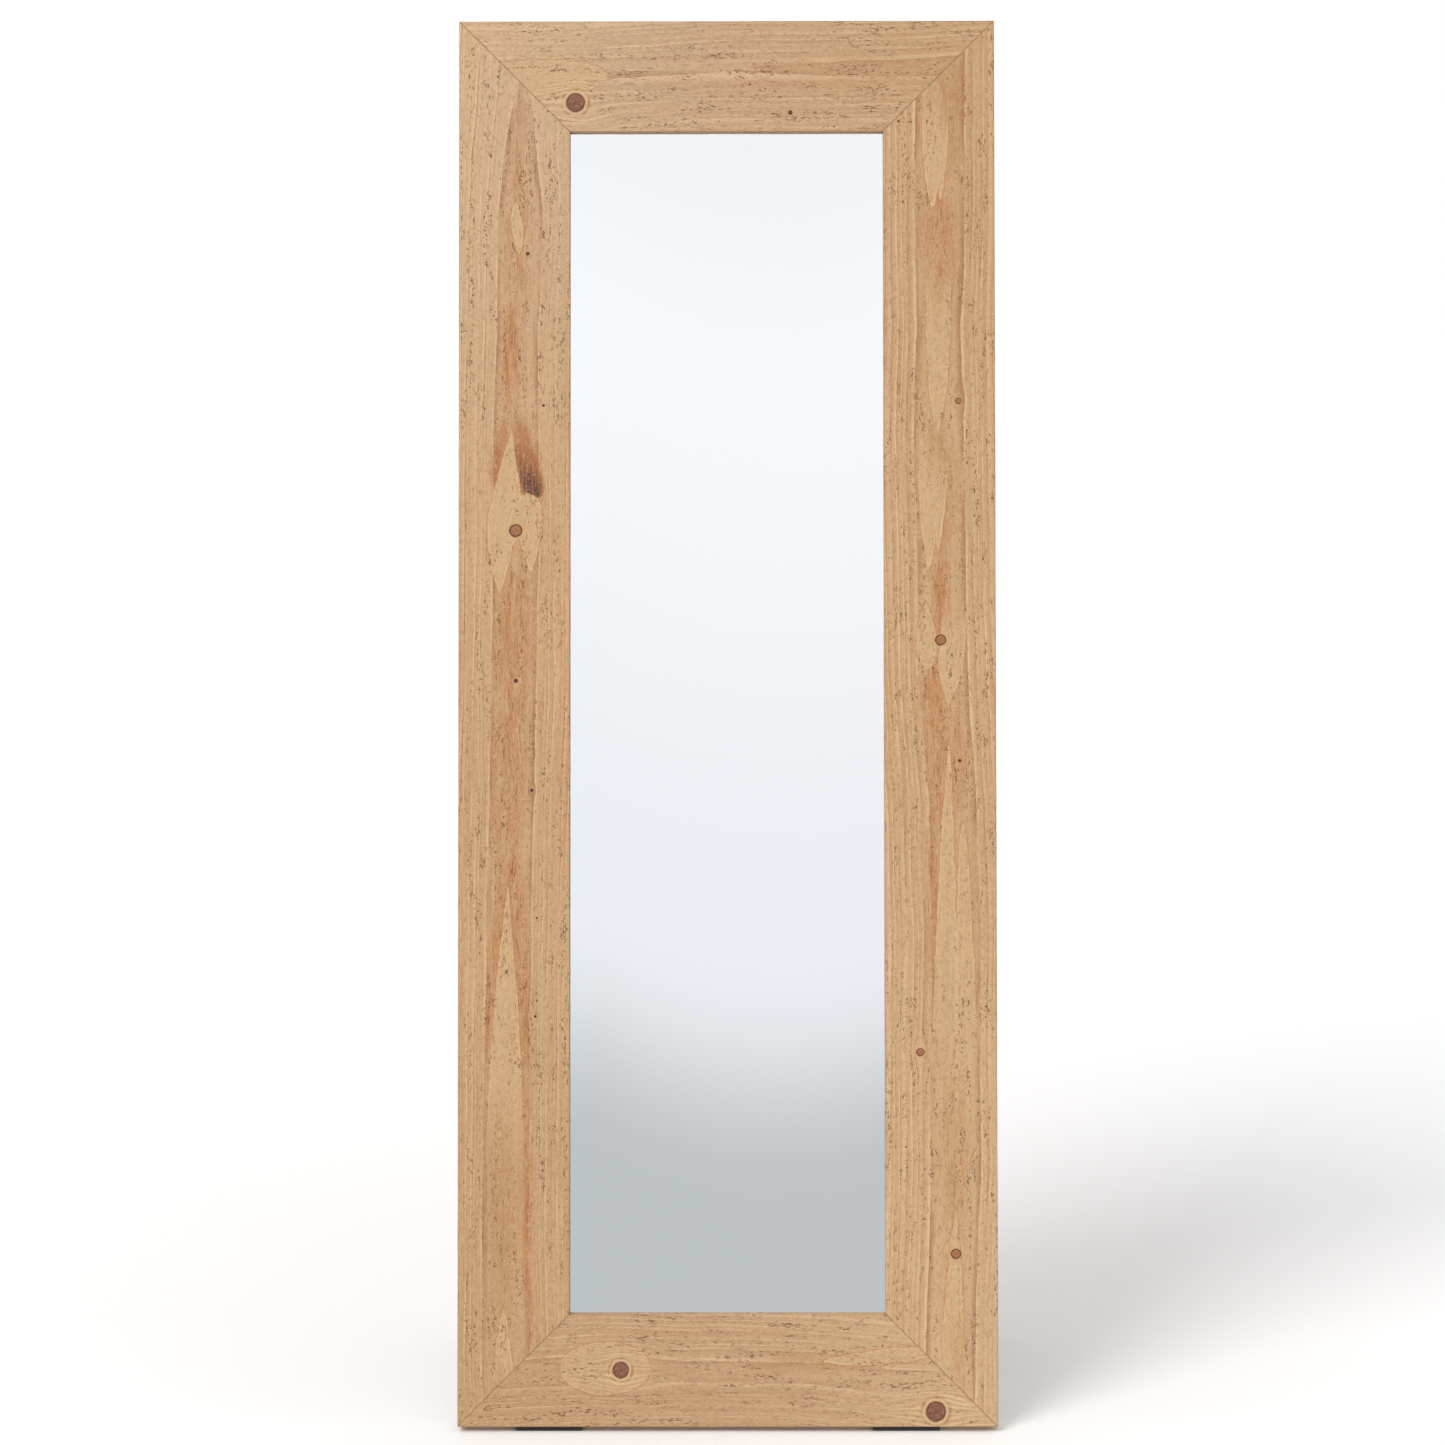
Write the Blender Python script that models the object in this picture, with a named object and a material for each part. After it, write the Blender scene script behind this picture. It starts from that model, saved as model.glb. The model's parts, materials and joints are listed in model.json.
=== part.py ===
"""Cheval floor mirror: a tall mirror in a wide, flat, mitred spruce frame.

The frame leans back on a folding easel strut: two legs on butt hinges behind the stiles, held at
their working angle by two slotted stay bars. The model stands on the floor, its glass facing -Y,
with +Z up and the origin under the middle of its footprint.

Three sets of axes are used, each that of an empty which its pieces are parented to:
  frame  x to the right, y from the boards' front face to the back, z up along the boards
  strut  on the hinge pins' axis: y from the pins towards the back, z up along the legs
  stay   on a stay bar's rivet: y across the bar, z up along the bar
"""

import math

import bmesh
import bpy
from mathutils import Matrix, Vector

# ---------------------------------------------------------------- driving dimensions, in metres

FRAME_WIDTH = 0.650
FRAME_HEIGHT = 1.700
BOARD_WIDTH = 0.135
BOARD_THICK = 0.024
LIP_THICK = 0.008          # wood left in front of the glass
REBATE = 0.010             # how far the boards cover the glass edge
GAP = 0.0003               # between pieces that touch

GLASS_THICK = 0.004
GLASS_PLAY = 0.002         # between the glass edge and the rebate
BACKING_THICK = 0.003
SETTING_PLACE = 0.110      # of the setting blocks, from the middle
BATTEN_WIDTH = 0.014
SETTING_BLOCK = (0.040, 0.0034)    # under the glass: length and depth

LEAN = math.radians(9.0)       # of the frame from the vertical
OPENING = math.radians(16.0)   # between the frame's back and the strut

HINGE_HEIGHT = 1.250       # up the frame, of the hinge pins
LEG_CENTRE = 0.255         # from the middle of the frame
LEG_WIDTH = 0.050
LEG_THICK = 0.020
LEG_TOP = -0.004           # below the hinge pins
RAIL_HEIGHT = 0.045
UPPER_RAIL = 0.045         # below the pins, to the rail's middle
LOWER_RAIL = 1.040

HINGE_LENGTH = 0.046
LEAF_THICK = 0.0016
LEAF_HEIGHT = 0.032
KNUCKLES = 5
KNUCKLE_RADIUS = 0.0032
HINGE_PIN_RADIUS = 0.0013
HINGE_PIN_HEAD = (0.0024, 0.0010)  # radius and thickness

STEEL_THICK = 0.002        # corner plates, stay brackets and stay bars
PLATE_LEG = 0.090
PLATE_WIDTH = 0.020
PLATE_INSET = 0.020        # from the frame's outer edges

STAY_ON_FRAME = 0.150      # below the hinge pins, to the rivet
STAY_ON_LEG = 0.500        # below the hinge pins, to the stay pin
STAY_OFF_BACK = 0.012      # rivet axis behind the frame's back face
STAY_WIDTH = 0.014
STAY_INNER = 0.222         # x of the bar's inner face
STAY_PIN_RADIUS = 0.003
STAY_SLOT_PLAY = 0.0009    # each side of the stay pin
STAY_SLOT_END = 0.0004     # further play at each end of the slot

FOOT_LENGTH = 0.080
FOOT_CENTRE = 0.215
FOOT_FRONT, FOOT_BACK = 0.007, 0.0235      # depths of its edges under the boards
FOOT_MIN_THICK = 0.003
BOOT_WALL = 0.0025
BOOT_HEIGHT = 0.018
BOOT_MIN_THICK = 0.004
BUMPER_RADIUS = 0.007
BUMPER_THICK = 0.0058
BUMPER_HEIGHT = 0.200      # up the frame

BISCUIT = (0.056, 0.004, 0.023)    # length along the mitre, thickness, width across it
BISCUIT_FLAT = 0.55                # share of its length that has its full width
BISCUIT_PLACE = 0.095              # its middle, along the mitre from the outer corner
TENON = (0.044, 0.008, 0.026)      # loose tenon in a strut joint: length, thickness, height

SCREW_HEAD = 0.0031        # radii of the countersunk wood screws
SCREW_SHANK = 0.0014
SCREW_LENGTH = 0.015
SCREW_TIP = 0.0025         # length of the point
LEAF_SCREWS = ((-0.0140, 0.0190), (0.0140, 0.0190))    # (x, z) from the middle of the hinge pin
PLATE_HOLES = (0.046, 0.080)       # along each leg of a corner plate, from its outer corner

BRACKET_HEIGHT = 0.044
BRACKET_INNER = 0.2035     # x of the base's inner edge
BRACKET_DEPTH = 0.0190     # how far the flange stands out
BRACKET_BEND = 0.0015      # inner radius
BRACKET_HOLES = (0.0085, 0.013)    # in from the base's inner edge, and above and below its middle
WASHER_THICK = 0.0017      # collar between a stay bar and its bracket
WASHER_RADIUS = 0.0050
STUD_HEAD = 0.0055         # radius of the heads of rivets and stay pins
STUD_HEAD_THICK = 0.0021
RIVET_TAIL = (0.0045, 0.0011)      # radius and thickness of the rivet's flat outer head
STAY_SCREW = (0.0020, 0.022)       # radius and length of the stay pin's end in the wood

ROUND = 12                 # sides of screws, pins and holes

# ---------------------------------------------------------------- worked out from them

HALF_WIDTH = FRAME_WIDTH / 2
OPEN_HALF = HALF_WIDTH - BOARD_WIDTH + REBATE       # middle to the rebate's side wall
REBATE_LOW = BOARD_WIDTH - REBATE
REBATE_HIGH = FRAME_HEIGHT - REBATE_LOW
GLASS_FRONT = LIP_THICK + GAP
BACKING_FRONT = GLASS_FRONT + GLASS_THICK + GAP
BATTEN_FRONT = BACKING_FRONT + BACKING_THICK + GAP

PIN_BEHIND = BOARD_THICK + GAP + KNUCKLE_RADIUS     # hinge axis from the boards' front face
LEG_FRONT = LEAF_THICK + GAP - KNUCKLE_RADIUS       # leg's front face from the hinge axis
LEG_BACK = LEG_FRONT + LEG_THICK
LEG_INNER = LEG_CENTRE - LEG_WIDTH / 2

BASE_HEIGHT = FOOT_BACK * math.sin(LEAN) + FOOT_MIN_THICK      # of the boards' front bottom edge
LEG_LEAN = OPENING - LEAN                           # of the open strut from the vertical
PIN_WORLD_HEIGHT = (HINGE_HEIGHT * math.cos(LEAN) - PIN_BEHIND * math.sin(LEAN) + BASE_HEIGHT)

STAY_AXIS = BOARD_THICK + STAY_OFF_BACK - PIN_BEHIND            # rivet from the hinge axis, in y
STAY_PIN_Y = (LEG_FRONT + LEG_BACK) / 2
BAR_OUTER = STAY_INNER + STEEL_THICK
FLANGE_INNER = BAR_OUTER + WASHER_THICK
BRACKET_OUTER = FLANGE_INNER + STEEL_THICK
RIVET_HEIGHT = HINGE_HEIGHT - STAY_ON_FRAME
HEAD_DEPTH = SCREW_HEAD - SCREW_SHANK               # of a screw's 45 degree cone
SCREW_CLEAR = 1.4 * GAP                             # round a screw, so that its cone is clear too

CORNERS = (("top_left", -1, 1), ("top_right", 1, 1), ("bottom_left", -1, -1), ("bottom_right", 1, -1))
SIDES = (("left", -1), ("right", 1))


def floor_under_frame(y):
    """Height of the floor in the frame's axes, at depth y."""
    return (y * math.sin(LEAN) - BASE_HEIGHT) / math.cos(LEAN)


def floor_under_strut(y):
    """Height of the floor in the strut's axes, at depth y."""
    return -(PIN_WORLD_HEIGHT + y * math.sin(LEG_LEAN)) / math.cos(LEG_LEAN)


def stay_span(opening):
    """Vector from the rivet to the stay pin, in the frame's axes, with the strut at an opening."""
    pin_y = STAY_PIN_Y * math.cos(opening) + STAY_ON_LEG * math.sin(opening)
    pin_z = STAY_PIN_Y * math.sin(opening) - STAY_ON_LEG * math.cos(opening)
    return Vector((0.0, pin_y - STAY_AXIS, pin_z + STAY_ON_FRAME))


def stay_angle(opening):
    """How far a stay bar has turned from hanging straight along the frame."""
    span = stay_span(opening)
    return math.atan2(span.y, -span.z)


# ---------------------------------------------------------------- materials

MATERIALS = {
    "spruce": ((0.58, 0.37, 0.21), 0.62, 0.0),
    "strut_spruce": ((0.62, 0.43, 0.26), 0.60, 0.0),
    "beech": ((0.60, 0.40, 0.24), 0.60, 0.0),
    "hardboard": ((0.16, 0.085, 0.045), 0.75, 0.0),
    "mirror": ((0.92, 0.93, 0.94), 0.03, 1.0),
    "cork": ((0.38, 0.22, 0.11), 0.90, 0.0),
    "zinc_steel": ((0.55, 0.56, 0.58), 0.38, 1.0),
    "rubber": ((0.025, 0.025, 0.027), 0.80, 0.0),
}


def material(name):
    """The named material, made once."""
    found = bpy.data.materials.get(name)
    if found:
        return found
    colour, roughness, metallic = MATERIALS[name]
    made = bpy.data.materials.new(name)
    made.use_nodes = True
    shader = made.node_tree.nodes["Principled BSDF"]
    shader.inputs["Base Color"].default_value = (*colour, 1.0)
    shader.inputs["Roughness"].default_value = roughness
    shader.inputs["Metallic"].default_value = metallic
    return made


# ---------------------------------------------------------------- shapes

def add_box(bm, low, high):
    """A box between two corners."""
    low, high = Vector(low), Vector(high)
    size = high - low
    place = Matrix.Translation((low + high) / 2) @ Matrix.Diagonal((*size, 1.0))
    bmesh.ops.create_cube(bm, size=1.0, matrix=place)


def add_prism(bm, outline, axis, start, end):
    """An outline of (a, b) points, extruded along an axis from start to end.

    The outline's a and b run along the other two axes, in x, y, z order.
    """
    def point(a, b, c):
        return {"X": (c, a, b), "Y": (a, c, b), "Z": (a, b, c)}[axis]

    first = [bm.verts.new(point(a, b, start)) for a, b in outline]
    last = [bm.verts.new(point(a, b, end)) for a, b in outline]
    faces = [bm.faces.new(first), bm.faces.new(last)]
    for i in range(len(outline)):
        j = (i + 1) % len(outline)
        faces.append(bm.faces.new((first[i], first[j], last[j], last[i])))
    bmesh.ops.recalc_face_normals(bm, faces=faces)


def add_turned(bm, profile, place, sides=ROUND):
    """A solid of revolution about its own +Z, from (radius, height) points, put at a matrix.

    The profile starts and ends on the axis.
    """
    poles = [bm.verts.new(place @ Vector((0, 0, profile[0][1]))),
             bm.verts.new(place @ Vector((0, 0, profile[-1][1])))]
    rings = []
    for radius, height in profile[1:-1]:
        angles = [2 * math.pi * (k + 0.5) / sides for k in range(sides)]
        rings.append([bm.verts.new(place @ Vector((radius * math.cos(a), radius * math.sin(a), height)))
                      for a in angles])
    faces = []
    for k in range(sides):
        j = (k + 1) % sides
        faces.append(bm.faces.new((poles[0], rings[0][k], rings[0][j])))
        faces.append(bm.faces.new((poles[1], rings[-1][j], rings[-1][k])))
        for low, high in zip(rings, rings[1:]):
            faces.append(bm.faces.new((low[k], high[k], high[j], low[j])))
    bmesh.ops.recalc_face_normals(bm, faces=faces)


def rod(radius, low, high):
    """The profile of a plain round rod between two heights."""
    return [(0, low), (radius, low), (radius, high), (0, high)]


def arc(centre, radius, start, end, steps):
    """Points on an arc in a plane, in degrees, both ends included."""
    angles = [math.radians(start + (end - start) * k / steps) for k in range(steps + 1)]
    return [(centre[0] + radius * math.cos(a), centre[1] + radius * math.sin(a)) for a in angles]


def facing(axis, place):
    """A matrix that turns +Z to an axis and moves it to a place."""
    turn = Vector((0, 0, 1)).rotation_difference(Vector(axis)).to_matrix().to_4x4()
    return Matrix.Translation(Vector(place)) @ turn


def finish_mesh(obj, bm, smooth):
    """Puts the bmesh on the object, shaded smooth where it is round."""
    bm.to_mesh(obj.data)
    bm.free()
    if smooth:
        obj.data.shade_smooth()
        obj.data.set_sharp_from_angle(angle=math.radians(35))


def make_piece(name, bm, parent, material_name, smooth=False, cutter=None):
    """A named piece on a parent empty, with an optional bmesh of what is cut out of it."""
    obj = bpy.data.objects.new(name, bpy.data.meshes.new(name))
    bpy.context.scene.collection.objects.link(obj)
    obj.parent = parent
    finish_mesh(obj, bm, smooth)
    obj.data.materials.append(material(material_name))
    if cutter:
        cut_out(obj, cutter)
    return obj


def cut_out(obj, cutter_bm):
    """Cuts the shapes of a bmesh out of an object, with a hidden cutter beside it."""
    cutter = bpy.data.objects.new(obj.name + "_cutter", bpy.data.meshes.new(obj.name + "_cutter"))
    bpy.context.scene.collection.objects.link(cutter)
    cutter.parent = obj.parent
    finish_mesh(cutter, cutter_bm, smooth=False)
    cutter.hide_render = True
    cutter.display_type = 'WIRE'
    modifier = obj.modifiers.new("cut", 'BOOLEAN')
    modifier.operation = 'DIFFERENCE'
    modifier.solver = 'EXACT'
    modifier.object = cutter


def make_axes(name, parent, place, turn):
    """An empty at a place, turned about X: the axes that a group of pieces is built in."""
    empty = bpy.data.objects.new(name, None)
    bpy.context.scene.collection.objects.link(empty)
    empty.parent = parent
    empty.location = place
    empty.rotation_euler = (turn, 0.0, 0.0)
    return empty


# ---------------------------------------------------------------- screws and their holes

def add_screw(bm, place, length):
    """A countersunk screw with its head's flat face at the place's origin, pointing along -Z."""
    add_turned(bm, [(0, 0), (SCREW_HEAD, 0), (SCREW_SHANK, -HEAD_DEPTH),
                    (SCREW_SHANK, SCREW_TIP - length), (0, -length)], place)


def add_countersink(bm, place, depth):
    """The hole for such a screw through a plate: it starts and ends past the plate's faces."""
    add_turned(bm, [(0, SCREW_CLEAR), (SCREW_HEAD + 2 * SCREW_CLEAR, SCREW_CLEAR),
                    (SCREW_SHANK + SCREW_CLEAR, -HEAD_DEPTH), (SCREW_SHANK + SCREW_CLEAR, -depth),
                    (0, -depth)], place)


def add_pilot(bm, place, length):
    """The hole that the screw's shank takes up in wood, opened past the wood's face."""
    add_turned(bm, rod(SCREW_SHANK + SCREW_CLEAR, -length - SCREW_CLEAR, 0), place)


# ---------------------------------------------------------------- where the frame's fixings go

def corner_screw_points(side, up):
    """Places of one corner plate's four screw holes, on its back face."""
    y = BOARD_THICK + GAP + STEEL_THICK
    middle = PLATE_INSET + PLATE_WIDTH / 2
    ends = [PLATE_INSET + hole for hole in PLATE_HOLES]
    insets = [(middle, end) for end in ends] + [(end, middle) for end in ends]
    return [(side * (HALF_WIDTH - across), y, FRAME_HEIGHT - along if up > 0 else along)
            for across, along in insets]


def hinge_screw_points(side):
    """Places of the screws of one frame leaf, on the leaf's back face, in the frame's axes."""
    y = BOARD_THICK + GAP + LEAF_THICK
    return [(side * LEG_CENTRE + x, y, HINGE_HEIGHT + z) for x, z in LEAF_SCREWS]


def bracket_screw_points(side):
    """Places of one stay bracket's two screws, in the frame's axes."""
    y = BOARD_THICK + GAP + STEEL_THICK
    inset, spread = BRACKET_HOLES
    x = side * (BRACKET_INNER + inset)
    return [(x, y, RIVET_HEIGHT + rise) for rise in (-spread, spread)]


# ---------------------------------------------------------------- frame boards

def mitre_frame(side, up, along):
    """Axes on a mitre: x along it from the outer corner, y to the back, z across it."""
    corner = Vector((side * HALF_WIDTH, BOARD_THICK / 2, FRAME_HEIGHT if up > 0 else 0.0))
    inward = Vector((-side, 0, -up)).normalized()
    depth = Vector((0, 1, 0))
    across = inward.cross(depth)
    turn = Matrix((inward, depth, across)).transposed().to_4x4()
    return Matrix.Translation(corner + inward * along) @ turn


def add_biscuit(bm, place, grow):
    """A flat biscuit with pointed ends, centred on a matrix, grown by a gap for its slot."""
    half_long, half_thick, half_wide = (size / 2 + grow for size in BISCUIT)
    flat = half_long * BISCUIT_FLAT
    outline = [(-half_long, 0.0), (-flat, -half_wide), (flat, -half_wide),
               (half_long, 0.0), (flat, half_wide), (-flat, half_wide)]
    before = set(bm.verts)
    add_prism(bm, outline, "Y", -half_thick, half_thick)
    made = [v for v in bm.verts if v not in before]
    bmesh.ops.transform(bm, matrix=place, verts=made)


def board_section():
    """The boards' section: distance in from the outer edge, and depth from the front face."""
    rebate_edge = BOARD_WIDTH - REBATE
    return [(0, 0), (BOARD_WIDTH, 0), (BOARD_WIDTH, LIP_THICK), (rebate_edge, LIP_THICK),
            (rebate_edge, BOARD_THICK), (0, BOARD_THICK)]


def board_bmesh(length, to_frame):
    """A rebated board, mitred at both ends: its section swept along its length."""
    bm = bmesh.new()
    mitre_gap = GAP / 2 * math.sqrt(2)
    ends = []
    for sign in (-1, 1):
        ring = []
        for inset, depth in board_section():
            along = sign * (length / 2 - inset - mitre_gap)
            ring.append(bm.verts.new(to_frame(along, inset, depth)))
        ends.append(ring)
    bm.faces.new(ends[0])
    bm.faces.new(ends[1])
    count = len(ends[0])
    for i in range(count):
        j = (i + 1) % count
        bm.faces.new((ends[0][i], ends[0][j], ends[1][j], ends[1][i]))
    bmesh.ops.recalc_face_normals(bm, faces=bm.faces)
    return bm


def biscuit_slots(corners):
    """The slots that the biscuits of some corners need."""
    cutter = bmesh.new()
    for side, up in corners:
        add_biscuit(cutter, mitre_frame(side, up, BISCUIT_PLACE), GAP)
    return cutter


def make_stiles(frame):
    for name, side in SIDES:
        bm = board_bmesh(FRAME_HEIGHT, lambda along, inset, depth, side=side:
                         (side * (HALF_WIDTH - inset), depth, FRAME_HEIGHT / 2 + along))
        cutter = biscuit_slots([(side, 1), (side, -1)])
        for point in hinge_screw_points(side) + bracket_screw_points(side):
            add_pilot(cutter, facing((0, 1, 0), point), SCREW_LENGTH)
        make_piece("frame_stile_" + name, bm, frame, "spruce", cutter=cutter)


def make_rails(frame):
    for name, up in (("top", 1), ("bottom", -1)):
        base = FRAME_HEIGHT if up > 0 else 0.0
        bm = board_bmesh(FRAME_WIDTH, lambda along, inset, depth, up=up, base=base:
                         (along, depth, base - up * inset))
        make_piece("frame_rail_" + name, bm, frame, "spruce", cutter=biscuit_slots([(-1, up), (1, up)]))


def make_biscuits(frame):
    for name, side, up in CORNERS:
        bm = bmesh.new()
        add_biscuit(bm, mitre_frame(side, up, BISCUIT_PLACE), 0.0)
        make_piece("corner_biscuit_" + name, bm, frame, "beech")


# ---------------------------------------------------------------- glass and what holds it

def make_glass(frame):
    half = OPEN_HALF - GLASS_PLAY
    bm = bmesh.new()
    add_box(bm, (-half, GLASS_FRONT, REBATE_LOW + GLASS_PLAY + 2 * GAP),
            (half, GLASS_FRONT + GLASS_THICK, REBATE_HIGH - GLASS_PLAY))
    make_piece("mirror_glass", bm, frame, "mirror")


def make_setting_blocks(frame):
    length, depth = SETTING_BLOCK
    for name, side in SIDES:
        middle = side * SETTING_PLACE
        bm = bmesh.new()
        add_box(bm, (middle - length / 2, GLASS_FRONT, REBATE_LOW + GAP),
                (middle + length / 2, GLASS_FRONT + depth, REBATE_LOW + GLASS_PLAY))
        make_piece("setting_block_" + name, bm, frame, "cork")


def make_backing(frame):
    half = OPEN_HALF - 2 * GAP
    bm = bmesh.new()
    add_box(bm, (-half, BACKING_FRONT, REBATE_LOW + 2 * GAP),
            (half, BACKING_FRONT + BACKING_THICK, REBATE_HIGH - 2 * GAP))
    make_piece("backing_board", bm, frame, "hardboard")


def make_battens(frame):
    """Four battens round the rebate: the side ones run between the top and bottom ones."""
    back = BOARD_THICK - GAP
    outer = OPEN_HALF - GAP
    low, high = REBATE_LOW + GAP, REBATE_HIGH - GAP
    boxes = {
        "top": ((-outer, BATTEN_FRONT, high - BATTEN_WIDTH), (outer, back, high)),
        "bottom": ((-outer, BATTEN_FRONT, low), (outer, back, low + BATTEN_WIDTH)),
    }
    for name, side in SIDES:
        edges = sorted((side * outer, side * (outer - BATTEN_WIDTH)))
        boxes[name] = ((edges[0], BATTEN_FRONT, low + BATTEN_WIDTH + GAP),
                       (edges[1], back, high - BATTEN_WIDTH - GAP))
    for name, (corner_low, corner_high) in boxes.items():
        bm = bmesh.new()
        add_box(bm, corner_low, corner_high)
        make_piece("batten_" + name, bm, frame, "strut_spruce")


# ---------------------------------------------------------------- corner plates

def make_corner_plates(frame):
    y = BOARD_THICK + GAP
    near, far = PLATE_INSET, PLATE_INSET + PLATE_LEG
    inner = PLATE_INSET + PLATE_WIDTH
    outline = [(near, near), (far, near), (far, inner), (inner, inner), (inner, far), (near, far)]
    for name, side, up in CORNERS:
        bm, cutter = bmesh.new(), bmesh.new()
        placed = [(side * (HALF_WIDTH - a), FRAME_HEIGHT - b if up > 0 else b) for a, b in outline]
        add_prism(bm, placed, "Y", y, y + STEEL_THICK)
        for point in corner_screw_points(side, up):
            add_countersink(cutter, facing((0, 1, 0), point), 2 * STEEL_THICK)
        make_piece("corner_plate_" + name, bm, frame, "zinc_steel", cutter=cutter)


# ---------------------------------------------------------------- hinges

def leaf_outline(up):
    """A leaf's section: a flat plate that rolls round the pin, which it leaves on one side."""
    inner = KNUCKLE_RADIUS - LEAF_THICK
    roll_end = 360 + 106       # degrees round the pin where the rolled edge stops, short of the plate
    outer_arc = arc((0, 0), KNUCKLE_RADIUS, 180, roll_end, 14)
    inner_arc = arc((0, 0), inner, roll_end, 180, 12)
    points = [(-KNUCKLE_RADIUS, LEAF_HEIGHT)] + outer_arc + inner_arc + [(-inner, LEAF_HEIGHT)]
    return [(y, up * z) for y, z in points]


def leaf_cutter(up, kept, screws_facing):
    """Cuts away the knuckles that the other leaf has, and the screw holes."""
    cutter = bmesh.new()
    step = HINGE_LENGTH / KNUCKLES
    reach = KNUCKLE_RADIUS + 2 * GAP
    for k in range(KNUCKLES):
        if k % 2 != kept:
            low = -HINGE_LENGTH / 2 + k * step
            add_box(cutter, (low - GAP, -reach, -reach), (low + step + GAP, reach, reach))
    for x, z in LEAF_SCREWS:
        place = facing((0, screws_facing, 0), (x, leaf_face(screws_facing), up * z))
        add_countersink(cutter, place, 2 * LEAF_THICK)
    return cutter


def leaf_face(screws_facing):
    """Depth of the leaf's face that the screw heads are sunk into, from the pin's axis."""
    return LEAF_THICK - KNUCKLE_RADIUS if screws_facing > 0 else -KNUCKLE_RADIUS


def make_leaf(name, axes, side, up, kept, screws_facing):
    bm = bmesh.new()
    add_prism(bm, leaf_outline(up), "X", -HINGE_LENGTH / 2, HINGE_LENGTH / 2)
    cutter = leaf_cutter(up, kept, screws_facing)
    for mesh in (bm, cutter):
        bmesh.ops.translate(mesh, vec=(side * LEG_CENTRE, 0, 0), verts=mesh.verts)
    make_piece(name, bm, axes, "zinc_steel", smooth=True, cutter=cutter)


def make_frame_leaves(hinge_axes):
    """The upper leaves, screwed to the stiles from behind."""
    for name, side in SIDES:
        make_leaf("hinge_frame_leaf_" + name, hinge_axes, side, 1, 0, 1)


def make_hinge_pins(hinge_axes):
    head_radius, head_thick = HINGE_PIN_HEAD
    near = HINGE_LENGTH / 2 + GAP
    far = near + head_thick
    profile = [(0, -far), (head_radius, -far), (head_radius, -near), (HINGE_PIN_RADIUS, -near),
               (HINGE_PIN_RADIUS, near), (head_radius, near), (head_radius, far), (0, far)]
    for name, side in SIDES:
        bm = bmesh.new()
        add_turned(bm, profile, facing((1, 0, 0), (side * LEG_CENTRE, 0, 0)))
        make_piece("hinge_pin_" + name, bm, hinge_axes, "zinc_steel", smooth=True)


def make_screws(name, points, direction, axes):
    """Numbered screws with their heads at the points, facing a direction."""
    for number, point in enumerate(points, 1):
        bm = bmesh.new()
        add_screw(bm, facing(direction, point), SCREW_LENGTH)
        make_piece(f"{name}_{number}", bm, axes, "zinc_steel", smooth=True)


def make_frame_screws(frame):
    """The screws of the frame leaves and of the stay brackets, driven in from behind."""
    for name, side in SIDES:
        make_screws("hinge_screw_frame_" + name, hinge_screw_points(side), (0, 1, 0), frame)
        make_screws("bracket_screw_" + name, bracket_screw_points(side), (0, 1, 0), frame)


# ---------------------------------------------------------------- strut

def strut_screw_points(side):
    """Places of one strut leaf's screws: on its front face, driven back into the leg."""
    return [(side * LEG_CENTRE + x, -KNUCKLE_RADIUS, -z) for x, z in LEAF_SCREWS]


def rail_middles():
    return (("upper", -UPPER_RAIL), ("lower", -LOWER_RAIL))


def add_tenon(bm, side, middle, grow):
    """A loose tenon with round edges between a leg and a rail, grown by a gap for its mortise."""
    half_long, half_thick, half_high = (size / 2 + grow for size in TENON)
    straight = half_high - half_thick
    outline = (arc((STAY_PIN_Y, middle + straight), half_thick, 0, 180, 6) +
               arc((STAY_PIN_Y, middle - straight), half_thick, 180, 360, 6))
    add_prism(bm, outline, "X", side * LEG_INNER - half_long, side * LEG_INNER + half_long)


def mortises(sides):
    """The mortises of both rails' tenons, on the given sides."""
    cutter = bmesh.new()
    for _, middle in rail_middles():
        for side in sides:
            add_tenon(cutter, side, middle, GAP)
    return cutter


def leg_end():
    """Height of the leg's square end, inside its boot, in the strut's axes."""
    return floor_under_strut(LEG_FRONT) + BOOT_MIN_THICK


def make_legs(strut):
    for name, side in SIDES:
        bm, cutter = bmesh.new(), mortises([side])
        inner, outer = side * LEG_INNER, side * (LEG_INNER + LEG_WIDTH)
        add_box(bm, (min(inner, outer), LEG_FRONT, leg_end()), (max(inner, outer), LEG_BACK, LEG_TOP))
        for point in strut_screw_points(side):
            add_pilot(cutter, facing((0, -1, 0), point), SCREW_LENGTH)
        screw_radius, screw_length = STAY_SCREW
        add_turned(cutter, rod(screw_radius + GAP, -GAP, screw_length + GAP),
                   facing((side, 0, 0), (inner, STAY_PIN_Y, -STAY_ON_LEG)))
        make_piece("strut_leg_" + name, bm, strut, "strut_spruce", cutter=cutter)


def make_strut_rails(strut):
    half = LEG_INNER - GAP
    for name, middle in rail_middles():
        bm = bmesh.new()
        add_box(bm, (-half, LEG_FRONT, middle - RAIL_HEIGHT / 2), (half, LEG_BACK, middle + RAIL_HEIGHT / 2))
        make_piece("strut_rail_" + name, bm, strut, "strut_spruce", cutter=mortises((-1, 1)))


def make_tenons(strut):
    for rail, middle in rail_middles():
        for name, side in SIDES:
            bm = bmesh.new()
            add_tenon(bm, side, middle, 0.0)
            make_piece(f"strut_tenon_{rail}_{name}", bm, strut, "beech", smooth=True)


def make_strut_leaves(strut):
    """The lower leaves, between the legs and the frame, screwed to the legs from in front."""
    for name, side in SIDES:
        make_leaf("hinge_strut_leaf_" + name, strut, side, -1, 1, -1)


def make_strut_screws(strut):
    for name, side in SIDES:
        make_screws("hinge_screw_strut_" + name, strut_screw_points(side), (0, -1, 0), strut)


# ---------------------------------------------------------------- stays

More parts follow.
